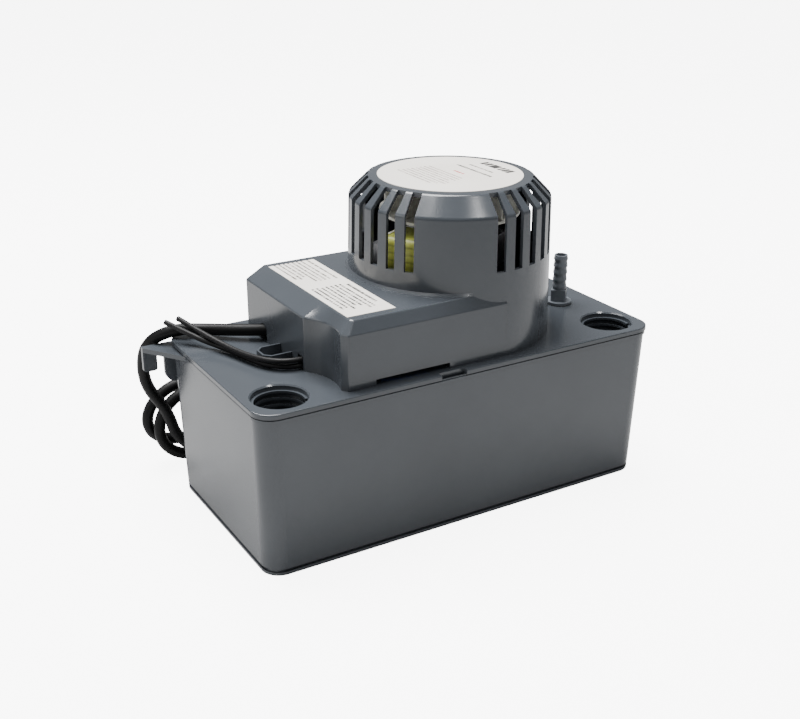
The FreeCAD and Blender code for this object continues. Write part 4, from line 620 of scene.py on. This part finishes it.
@dataclass(frozen=True)
class RuledBlock:
    """A block of ruled lines on a label, with rows stacked along X.

    Attributes:
        start: Where the lines start, along Y and towards the front.
        length: How long the longest line is.
        first: The first row's place along X.
        pitch: The step from row to row.
        rows: How many rows.
        weight: The inked share of a row.
        ragged: How much shorter the shortest line is.
        cell: The length of one stroke.
        ink: The colour of the lines.
        seed: A number that picks the strokes.
    """

    start: float
    length: float
    first: float
    pitch: float
    rows: int
    weight: float = 0.34
    ragged: float = 0.3
    cell: float = 0.0032
    ink: Colour = (0.16, 0.16, 0.17)
    seed: float = 1.0


@dataclass(frozen=True)
class LabelFinish(Finish):
    """Printed film with blocks of ruled lines.

    Attributes:
        blocks: The blocks of lines.
    """

    blocks: tuple[RuledBlock, ...] = ()

    def colour(self, graph: Graph, effects: Effects, place: Socket) -> Socket:
        """Draws each block over the film's colour."""
        made = super().colour(graph, effects, place)
        values = graph.axes(place)
        across = values[Axis.X.value]
        along = graph.maths("MULTIPLY", values[Axis.Y.value], -1.0)
        for block in self.blocks:
            mask = effects.rules.use(
                graph,
                Along=along,
                Across=across,
                Start=block.start,
                Length=block.length,
                First=block.first,
                Pitch=block.pitch,
                Rows=float(block.rows),
                Weight=block.weight,
                Ragged=block.ragged,
                Cell=block.cell,
                Seed=block.seed,
            )["Mask"]
            made = graph.blend(mask, made, block.ink)
        return made


@dataclass(frozen=True)
class Strand:
    """The stretch between two bends of the coil, through the tie.

    Attributes:
        points: The points that the cord passes, in millimetres.
    """

    points: tuple[Point, ...]


@dataclass(frozen=True)
class Bend:
    """Half a turn at one end of the coil.

    Attributes:
        side: 1 at the right end, -1 at the left.
        centre: The bend's middle along X.
        reach: How far the bend goes past its middle.
        low: The height of its lower strand.
        high: The height of its upper strand.
        near: The place of its lower strand along Y.
        far: The place of its upper strand along Y.
        rising: Whether the cord climbs through it.
        ease: How late the bend crosses from near to far.
        lean: How far its top stands over its middle along X, and its foot the other way.
        steps: How many points it has.
    """

    side: int
    centre: float
    reach: float
    low: float
    high: float
    near: float
    far: float
    rising: bool
    ease: float = 1.0
    lean: float = 0.0
    steps: int = 7

    @property
    def points(self) -> tuple[Point, ...]:
        """The bend's points, in the order that the cord runs."""
        made = []
        for index in range(self.steps):
            share = index / (self.steps - 1)
            turn = math.pi * (share - 0.5)
            made.append((
                self.centre + self.side * self.reach * math.cos(turn) + self.lean * math.sin(turn),
                self.near + (self.far - self.near) * share**self.ease,
                (self.low + self.high) / 2 + (self.high - self.low) / 2 * math.sin(turn),
            ))
        return tuple(made if self.rising else reversed(made))


def shader_node(tree: bpy.types.NodeTree, kind: str) -> bpy.types.Node:
    """Finds the one node of a kind in a new tree.

    Args:
        tree: The tree.
        kind: The node's type.

    Returns:
        The node.
    """
    return next(node for node in tree.nodes if node.type == kind)


def stand(place: Vector, aim: Vector) -> Matrix:
    """Gives the placement of a camera or lamp that faces a point.

    Args:
        place: Where it stands, in metres.
        aim: The point that it faces.

    Returns:
        Its matrix.
    """
    turn = (aim - place).to_track_quat("-Z", "Y").to_matrix().to_4x4()
    return Matrix.Translation(place) @ turn


def spline_piece(name: str, route: list[Point], radius: float) -> bpy.types.Object:
    """Makes a smooth round cord along a route.

    Args:
        name: The piece's name.
        route: Its control points in millimetres.
        radius: The cord's radius in metres.

    Returns:
        The curve object.
    """
    data = bpy.data.curves.new(name, "CURVE")
    data.dimensions = "3D"
    spline = data.splines.new("NURBS")
    spline.points.add(len(route) - 1)
    for point, place in zip(spline.points, route):
        point.co = (place[0] * MM, place[1] * MM, place[2] * MM, 1.0)
    spline.order_u = 3
    spline.use_endpoint_u = True
    data.resolution_u = CORD_STEPS
    data.bevel_depth = radius
    data.bevel_resolution = CORD_RING_STEPS
    data.use_fill_caps = True
    made = bpy.data.objects.new(name, data)
    bpy.context.scene.collection.objects.link(made)
    return made


def mesh_piece(name: str, shape: bmesh.types.BMesh, smooth: bool = True) -> bpy.types.Object:
    """Turns a bmesh into an object at the origin.

    Args:
        name: The piece's name.
        shape: The finished shape, in metres.
        smooth: Whether its faces are shaded smooth.

    Returns:
        The new object.
    """
    data = bpy.data.meshes.new(name)
    bmesh.ops.recalc_face_normals(shape, faces=shape.faces)
    shape.to_mesh(data)
    shape.free()
    if smooth:
        data.shade_smooth()
        data.set_sharp_from_angle(angle=SHARP_ANGLE)
    made = bpy.data.objects.new(name, data)
    bpy.context.scene.collection.objects.link(made)
    return made


@dataclass
class Wardrobe:
    """Every finish, by material slot.

    Attributes:
        effects: The shared node groups.
        made: The built materials.
    """

    effects: Effects
    made: dict[str, bpy.types.Material] = field(default_factory=dict)

    def finishes(self) -> list[Finish]:
        """Lists the finishes.

        Returns:
            One finish for each slot but the labels'.
        """
        grey = spectrum(60, 64, 69)
        grey_light = spectrum(64, 68, 73)
        return [
            Finish("housing_plastic", grey, grey_light, 0.17, 0.23,
                   grain=1900.0, relief=0.000003, drift=14.0),
            Finish("fitting_plastic", spectrum(92, 97, 103), spectrum(98, 103, 109), 0.27, 0.36),
            Finish("pump_plastic", spectrum(50, 51, 54), spectrum(58, 59, 62), 0.34, 0.46),
            Finish("float_foam", spectrum(52, 52, 54), spectrum(72, 72, 74), 0.8, 0.95,
                   grain=1100.0, relief=0.00022, sheen=0.3),
            Finish("fan_plastic", spectrum(214, 214, 204), spectrum(226, 226, 218), 0.32, 0.44),
            Finish("bobbin_nylon", spectrum(226, 222, 206), spectrum(236, 232, 218), 0.35, 0.5),
            BandedFinish("coil_tape", spectrum(172, 178, 74), spectrum(190, 194, 96), 0.3, 0.42,
                         relief=0.00008, axis=Axis.Z, pitch=0.0045, ink=spectrum(122, 128, 46)),
            BandedFinish("lamination_steel", spectrum(120, 122, 126), spectrum(150, 152, 156),
                         0.32, 0.5, 1.0, relief=0.00005, axis=Axis.Z, pitch=0.0007,
                         ink=spectrum(60, 56, 54)),
            Finish("zinc_steel", spectrum(176, 180, 184), spectrum(200, 202, 198),
                   0.24, 0.42, 1.0, drift=120.0),
            BandedFinish("ground_steel", spectrum(196, 198, 200), spectrum(214, 215, 216),
                         0.14, 0.26, 1.0, relief=0.000006, axis=Axis.Z, pitch=0.00032,
                         ink=spectrum(150, 150, 152)),
            Finish("rotor_aluminium", spectrum(190, 191, 193), spectrum(208, 209, 211),
                   0.34, 0.52, 1.0, grain=1500.0, relief=0.00003),
            Finish("bush_bronze", spectrum(172, 132, 78), spectrum(192, 152, 96),
                   0.3, 0.46, 1.0, drift=200.0),
            Finish("copper_ring", spectrum(196, 120, 82), spectrum(210, 138, 100),
                   0.22, 0.36, 1.0, drift=160.0),
            Finish("contact_brass", spectrum(206, 180, 116), spectrum(222, 198, 136),
                   0.18, 0.32, 1.0),
            Finish("switch_plastic", spectrum(38, 38, 40), spectrum(44, 44, 46), 0.24, 0.34),
            Finish("plunger_plastic", spectrum(178, 40, 32), spectrum(190, 50, 40), 0.22, 0.3),
            Finish("block_nylon", spectrum(214, 210, 196), spectrum(224, 221, 208), 0.36, 0.5),
            Finish("seal_rubber", spectrum(34, 34, 35), spectrum(42, 42, 43), 0.6, 0.75,
                   relief=0.00003, sheen=0.1),
            Finish("hose_rubber", spectrum(44, 44, 45), spectrum(54, 54, 55), 0.5, 0.66,
                   relief=0.00003, sheen=0.1),
            Finish("cord_rubber", spectrum(9, 9, 10), spectrum(13, 13, 14), 0.42, 0.54,
                   grain=1400.0, relief=0.00002, drift=40.0, specular=0.16),
            Finish("tie_plastic", spectrum(34, 34, 35), spectrum(42, 42, 43), 0.5, 0.66,
                   grain=900.0, relief=0.00008),
            Finish("lead_sleeve", spectrum(15, 15, 16), spectrum(21, 21, 22), 0.42, 0.54,
                   drift=60.0, specular=0.2),
            Finish("wire_blue_pvc", spectrum(28, 78, 172), spectrum(34, 88, 186), 0.24, 0.34),
            Finish("wire_black_pvc", spectrum(26, 26, 27), spectrum(33, 33, 34), 0.24, 0.34),
            Finish("ball_plastic", spectrum(232, 229, 220), spectrum(238, 236, 228), 0.16, 0.26,
                   coat=0.3),
        ]

    def labels(self) -> dict[str, Finish]:
        """Gives the two printed labels' finishes.

        Returns:
            The finishes by node.
        """
        film = spectrum(232, 227, 219)
        film_light = spectrum(238, 234, 227)
        faint_ink = spectrum(150, 138, 134)
        grey_ink = spectrum(104, 100, 95)
        dark_ink = spectrum(58, 57, 56)
        red_ink = spectrum(196, 84, 84)
        return {
            "data_label": LabelFinish(
                "label_film", film, film_light, 0.3, 0.38, relief=0.000003,
                blocks=(
                    RuledBlock(-0.0525, 0.047, -0.0735, 0.0031, 7,
                               weight=0.44, ragged=0.34, cell=0.0024, ink=grey_ink, seed=3.0),
                    RuledBlock(0.0025, 0.045, -0.0735, 0.0031, 7,
                               weight=0.46, ragged=0.3, cell=0.0024, ink=dark_ink, seed=11.0),
                    RuledBlock(-0.0530, 0.045, -0.0508, 0.0031, 1,
                               weight=0.5, ragged=0.0, cell=0.0022, ink=grey_ink, seed=5.0),
                    RuledBlock(0.0040, 0.036, -0.0508, 0.0034, 1,
                               weight=0.56, ragged=0.0, cell=0.0021, ink=dark_ink, seed=7.0),
                ),
            ),
            "top_label": LabelFinish(
                "label_film", film, film_light, 0.28, 0.36, relief=0.000003,
                blocks=(
                    RuledBlock(-0.0150, 0.0315, 0.0570, 0.009, 1,
                               weight=0.72, ragged=0.0, cell=0.0045, ink=dark_ink, seed=8.0),
                    RuledBlock(-0.0147, 0.0258, 0.0490, 0.0034, 1,
                               weight=0.5, ragged=0.0, cell=0.0022, ink=grey_ink, seed=9.0),
                    RuledBlock(-0.0190, 0.0386, 0.0418, 0.0034, 1,
                               weight=0.6, ragged=0.0, cell=0.0021, ink=dark_ink, seed=10.0),
                    RuledBlock(-0.0069, 0.0121, 0.0313, 0.004, 1,
                               weight=0.45, ragged=0.0, cell=0.003, ink=red_ink, seed=4.0),
                    RuledBlock(-0.0245, 0.049, 0.0020, 0.0032, 8,
                               weight=0.4, ragged=0.25, cell=0.0024, ink=faint_ink, seed=6.0),
                ),
            ),
        }

    def dress(self, nodes: dict[str, bpy.types.Object]) -> None:
        """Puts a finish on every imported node.

        Args:
            nodes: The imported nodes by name.
        """
        for finish in self.finishes():
            self.made[finish.slot] = finish.make(self.effects)
        printed = {name: finish.make(self.effects) for name, finish in self.labels().items()}
        self.made["label_film"] = printed["data_label"]
        for name, node in nodes.items():
            for slot in node.material_slots:
                plain = slot.material.name.split(".")[0]
                slot.material = printed.get(name) or self.made[plain]
        LOG.info("dressed %d nodes in %d finishes", len(nodes), len(self.made))

    def wear(self, piece: bpy.types.Object, slot: str, body: Body = Body.HOUSING) -> None:
        """Dresses a new piece, and fixes it to its body.

        Args:
            piece: The new piece.
            slot: Its material slot.
            body: The body that it rides on.
        """
        piece.data.materials.append(self.made[slot])
        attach(piece, body.value)
        LOG.info("made %s", piece.name)


@dataclass
class Camera:
    """The camera at the photograph's viewing angle.

    Attributes:
        place: Where it stands, in millimetres.
        aim: The point that it looks at, in millimetres.
        focal: Its focal length in the photograph's pixels.
        middle: The pixel that its axis passes through.
        frame: The photograph's size in pixels.
        roll: Its turn about its own axis, in degrees.
        sensor: Its sensor's width in millimetres.
        clip: The nearest and farthest distance that it sees, in metres.
    """

    place: Point = (-362.39, -587.74, 373.51)
    aim: Point = (-7.361, 0.0, 77.446)
    focal: float = 1155.34
    middle: tuple[float, float] = (403.17, 371.53)
    frame: tuple[float, float] = (800.0, 719.0)
    roll: float = 0.375
    sensor: float = 36.0
    clip: tuple[float, float] = (0.01, 50.0)

    def make(self) -> None:
        """Makes the camera, and sets it as the scene's own."""
        data = bpy.data.cameras.new("camera")
        width, height = self.frame
        data.sensor_width = self.sensor
        data.lens = self.focal / width * self.sensor
        data.shift_x = (width / 2 - self.middle[0]) / width
        data.shift_y = (self.middle[1] - height / 2) / width
        data.clip_start, data.clip_end = self.clip
        made = bpy.data.objects.new("camera", data)
        rolled = Matrix.Rotation(math.radians(self.roll), 4, "Z")
        facing = stand(Vector(self.place) * MM, Vector(self.aim) * MM)
        made.matrix_world = facing @ rolled
        bpy.context.scene.collection.objects.link(made)
        bpy.context.scene.camera = made


@dataclass
class PowerCord:
    """The mains lead, hung over the corner hook and put away as a tied hank behind the tank.

    Attributes:
        radius: The lead's radius in metres.
        length: Its length in metres; not used.
        outlet: Where it leaves the motor cover, in metres; not used.
    """

    radius: float = 0.00385
    length: float = 1.76
    outlet: Point = (-0.09, 0.0319, 0.1118)

    def route(self) -> list[Point]:
        """Gives the lead's way out of the cover and round the hank.

        Returns:
            The control points in millimetres, in the order that the cord runs.
        """
        visible = [
            (-72.0, 23.5, 111.8),
            (-98.3, 35.8, 111.8),
            (-119.3, 58.0, 109.2),
            (-137.6, 64.3, 110.5),
            (-150.3, 76.7, 100.6),
            (-153.1, 84.0, 83.5),
            (-150.0, 87.0, 64.9),
        ]
        stages = [
            Strand(((-140.0, 86.8, 49.0), (-135.8, 86.8, 38.0), (-133.8, 86.7, 28.6),
                    (-126.0, 86.5, 17.6), (-113.0, 86.3, 8.4), (-88.0, 86.3, 4.4),
                    (-36.0, 86.4, 4.05), (12.0, 86.3, 4.1))),
            Bend(1, 43.0, 29.5, 4.1, 55.0, 86.2, 103.8, True, 2.6),
            Strand(((5.0, 103.8, 37.0), (-36.0, 102.6, 12.3), (-78.0, 103.8, 37.0))),
            Bend(-1, -121.0, 25.7, 14.3, 56.2, 104.0, 104.2, False, lean=4.0),
            Strand(((-88.0, 103.2, 4.8), (-36.0, 102.6, 4.05), (0.0, 103.0, 4.1))),
            Bend(1, 33.0, 28.5, 4.1, 51.5, 103.8, 96.6, True),
            Strand(((0.0, 95.5, 38.0), (-36.0, 94.5, 20.0), (-80.0, 94.6, 39.0))),
            Bend(-1, -115.5, 26.7, 4.6, 54.2, 94.8, 94.6, False, lean=1.5),
            Strand(((-88.0, 94.8, 4.3), (-36.0, 94.5, 4.05), (-8.0, 94.5, 4.1))),
            Bend(1, 22.0, 26.5, 4.1, 46.0, 94.4, 88.0, True, 0.5),
            Strand(((-8.0, 87.4, 27.0), (-36.0, 86.9, 12.6), (-64.0, 86.9, 33.0))),
            Bend(-1, -92.0, 24.5, 17.5, 55.0, 87.2, 87.0, False),
            Strand(((-64.0, 91.0, 13.5), (-36.0, 94.4, 12.2), (0.0, 98.0, 12.2),
                    (30.0, 99.6, 12.6), (46.0, 98.0, 13.2), (58.0, 94.8, 14.3),
                    (74.0, 94.5, 14.5), (88.0, 94.5, 14.5))),
        ]
        made = list(visible)
        for stage in stages:
            made.extend(stage.points)
        return made

    def make(
        self, wardrobe: Wardrobe, nodes: dict[str, bpy.types.Object], tie: bpy.types.Object
    ) -> None:
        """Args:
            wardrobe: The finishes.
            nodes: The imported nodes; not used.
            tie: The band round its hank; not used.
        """
        lead = spline_piece("mains_lead", self.route(), self.radius)
        wardrobe.wear(lead, "cord_rubber")
        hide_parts("power_cord", "power_cord_hank", "power_cord_tail")


@dataclass
class CordTie:
    """The rubber band that holds the hank at its waist.

    Attributes:
        waist: The band's middle along X, in millimetres.
        width: Its width.
        reach: How far its outside lies from the middle of the strand under it.
        thick: Its thickness.
        strands: The middles of the outer strands at the waist, along Y and Z.
        steps: The points round the band.
        lift: How far its foot clears the floor.
        edge_round: The width of its rounded edges.
        corner: The angle from which an edge is rounded, in radians.
    """

    waist: float = -36.0
    width: float = 9.0
    reach: float = 5.2
    thick: float = 1.2
    strands: tuple[tuple[float, float], ...] = (
        (86.4, 4.1), (102.6, 4.1), (102.6, 12.3), (94.5, 20.0), (86.9, 12.6),
    )
    steps: int = 72
    lift: float = 0.1
    edge_round: float = 0.3
    corner: float = 1.0

    def make(self, wardrobe: Wardrobe) -> bpy.types.Object:
        """Draws the band tight round the strands, and gives it its width and wall.

        Args:
            wardrobe: The finishes.

        Returns:
            The band.
        """
        shape = bmesh.new()
        bmesh.ops.create_circle(shape, segments=self.steps, radius=1.0)
        for vert in shape.verts:
            across, up = vert.co.x, vert.co.y
            strand = max(self.strands, key=lambda spot: spot[0] * across + spot[1] * up)
            vert.co = (
                (self.waist - self.width / 2) * MM,
                (strand[0] + self.reach * across) * MM,
                max(strand[1] + self.reach * up, self.thick + self.lift) * MM,
            )
        drawn = bmesh.ops.extrude_edge_only(shape, edges=shape.edges[:])["geom"]
        moved = [part for part in drawn if isinstance(part, bmesh.types.BMVert)]
        bmesh.ops.translate(shape, verts=moved, vec=(self.width * MM, 0.0, 0.0))
        bmesh.ops.recalc_face_normals(shape, faces=shape.faces)
        bmesh.ops.solidify(shape, geom=shape.faces[:], thickness=self.thick * MM)
        bmesh.ops.bevel(
            shape,
            geom=[edge for edge in shape.edges if edge.calc_face_angle(0.0) > self.corner],
            offset=self.edge_round * MM,
            affect="EDGES",
            segments=2,
            profile=0.5,
            material=-1,
        )
        tie = mesh_piece("hank_band", shape)
        wardrobe.wear(tie, "tie_plastic")
        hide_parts("cord_tie")
        return tie


@dataclass(frozen=True)
class LeadRun:
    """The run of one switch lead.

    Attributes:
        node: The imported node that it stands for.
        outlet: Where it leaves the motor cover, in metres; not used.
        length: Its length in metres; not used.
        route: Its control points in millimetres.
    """

    node: str
    outlet: Point
    length: float
    route: tuple[Point, ...]


@dataclass
class SwitchLeads:
    """The two thin leads of the overflow switch, with bare ends over the back corner.

    Attributes:
        radius: Each lead's radius in metres.
    """

    radius: float = 0.0017

    def runs(self) -> list[LeadRun]:
        """Gives the two leads' runs.

        Returns:
            The runs.
        """
        return [
            LeadRun("switch_lead_upper", (-0.0906, -0.0213, 0.1111), 0.110, (
                (-80.0, -22.0, 111.1),
                (-90.6, -21.2, 111.1),
                (-98.8, -19.6, 111.0),
                (-105.8, -14.5, 110.9),
                (-111.2, -5.4, 110.5),
                (-116.4, 11.6, 109.7),
                (-121.5, 28.4, 111.1),
                (-127.4, 43.6, 113.9),
                (-131.2, 53.2, 116.2),
                (-134.2, 62.1, 117.8),
            )),
            LeadRun("switch_lead_lower", (-0.0904, -0.0213, 0.1071), 0.113, (
                (-80.0, -22.0, 107.1),
                (-90.4, -21.2, 107.1),
                (-98.2, -18.9, 107.1),
                (-104.8, -13.6, 107.2),
                (-109.8, -4.6, 107.1),
                (-113.9, 12.0, 106.7),
                (-118.6, 27.4, 107.0),
                (-127.0, 39.6, 109.4),
                (-135.4, 50.0, 113.6),
                (-142.8, 61.7, 117.2),
            )),
        ]

    def make(self, wardrobe: Wardrobe) -> None:
        """Args:
            wardrobe: The finishes.
        """
        for run in self.runs():
            lead = spline_piece(f"{run.node}_line", list(run.route), self.radius)
            wardrobe.wear(lead, "lead_sleeve")
            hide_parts(run.node)


@dataclass(frozen=True)
class Lamp:
    """A square soft light.

    Attributes:
        name: The light's name.
        place: Where it stands, in metres.
        size: Its side in metres.
        power: Its power in watts.
    """

    name: str
    place: Point
    size: float
    power: float

    def make(self, aim: Point) -> None:
        """Adds the light.

        Args:
            aim: The point that it faces, in metres.
        """
        data = bpy.data.lights.new(self.name, "AREA")
        data.shape = "SQUARE"
        data.size = self.size
        data.energy = self.power
        made = bpy.data.objects.new(self.name, data)
        made.matrix_world = stand(Vector(self.place), Vector(aim))
        bpy.context.scene.collection.objects.link(made)


@dataclass
class Studio:
    """The pale floor, the soft lights and the light surroundings.

    Attributes:
        floor_half: Half the floor's side.
        floor_drop: How far the floor's top is under the part.
        floor_glow: The light that the floor gives by itself, as a light table does.
        floor_white: How much whiter floor and surroundings look than they light.
        ambient: The strength of the pale surroundings.
        paper: The floor's colour.
        paper_rough: The floor's roughness.
        paper_specular: The strength of the floor's own reflections.
        aim: The point that the lamps face, in metres.
        lamps: The lamps.
    """

    floor_half: float = 6.0
    floor_drop: float = 0.0002
    floor_glow: float = 0.2
    floor_white: float = 7.0
    ambient: float = 0.25
    paper: Colour = (0.5, 0.5, 0.5)
    paper_rough: float = 0.9
    paper_specular: float = 0.1
    aim: Point = (0.0, 0.0, 0.08)
    lamps: tuple[Lamp, ...] = (
        Lamp("key_left", (-1.6, 0.1, 0.9), 1.0, 6.5),
        Lamp("top", (-0.1, 0.45, 1.58), 1.0, 86.0),
        Lamp("glint", (0.26, -0.7, 1.5), 0.22, 7.0),
    )

    def floor(self) -> None:
        """Makes the floor."""
        shape = bmesh.new()
        bmesh.ops.create_grid(shape, x_segments=1, y_segments=1, size=self.floor_half)
        bmesh.ops.translate(shape, verts=shape.verts, vec=(0.0, 0.0, -self.floor_drop))
        piece = mesh_piece("studio_floor", shape, smooth=False)
        material = bpy.data.materials.new("floor_paper")
        material.use_nodes = True
        shader = shader_node(material.node_tree, "BSDF_PRINCIPLED")
        shader.inputs["Base Color"].default_value = (*self.paper, 1.0)
        shader.inputs["Roughness"].default_value = self.paper_rough
        shader.inputs["Specular IOR Level"].default_value = self.paper_specular
        shader.inputs["Emission Color"].default_value = (1.0, 1.0, 1.0, 1.0)
        self.whiten(material.node_tree, shader.inputs["Emission Strength"], self.floor_glow)
        piece.data.materials.append(material)

    def whiten(self, tree: bpy.types.NodeTree, strength: Socket, least: float) -> None:
        """Makes a glow look whiter to the camera than it lights.

        Args:
            tree: The tree of the glow.
            strength: Its strength's socket.
            least: The strength that lights the part.
        """
        graph = Graph(tree)
        seen = graph.node("ShaderNodeLightPath").outputs["Is Camera Ray"]
        graph.join(graph.maths("MULTIPLY_ADD", seen, self.floor_white, least), strength)

    def surroundings(self) -> None:
        """Makes the pale surroundings."""
        world = bpy.data.worlds.new("studio")
        world.use_nodes = True
        back = shader_node(world.node_tree, "BACKGROUND")
        back.inputs["Color"].default_value = (1.0, 1.0, 1.0, 1.0)
        self.whiten(world.node_tree, back.inputs["Strength"], self.ambient)
        bpy.context.scene.world = world

    def make(self) -> None:
        """Makes the floor, lights and surroundings."""
        self.floor()
        self.surroundings()
        for lamp in self.lamps:
            lamp.make(self.aim)


def main() -> None:
    """Builds the scene: camera, cords, finishes and studio."""
    logging.basicConfig(level=logging.INFO, format="%(message)s")
    nodes = frame["nodes"]
    Camera().make()
    wardrobe = Wardrobe(Effects())
    wardrobe.dress(nodes)
    tie = CordTie().make(wardrobe)
    PowerCord().make(wardrobe, nodes, tie)
    SwitchLeads().make(wardrobe)
    Studio().make()


if __name__ == "__main__":
    main()
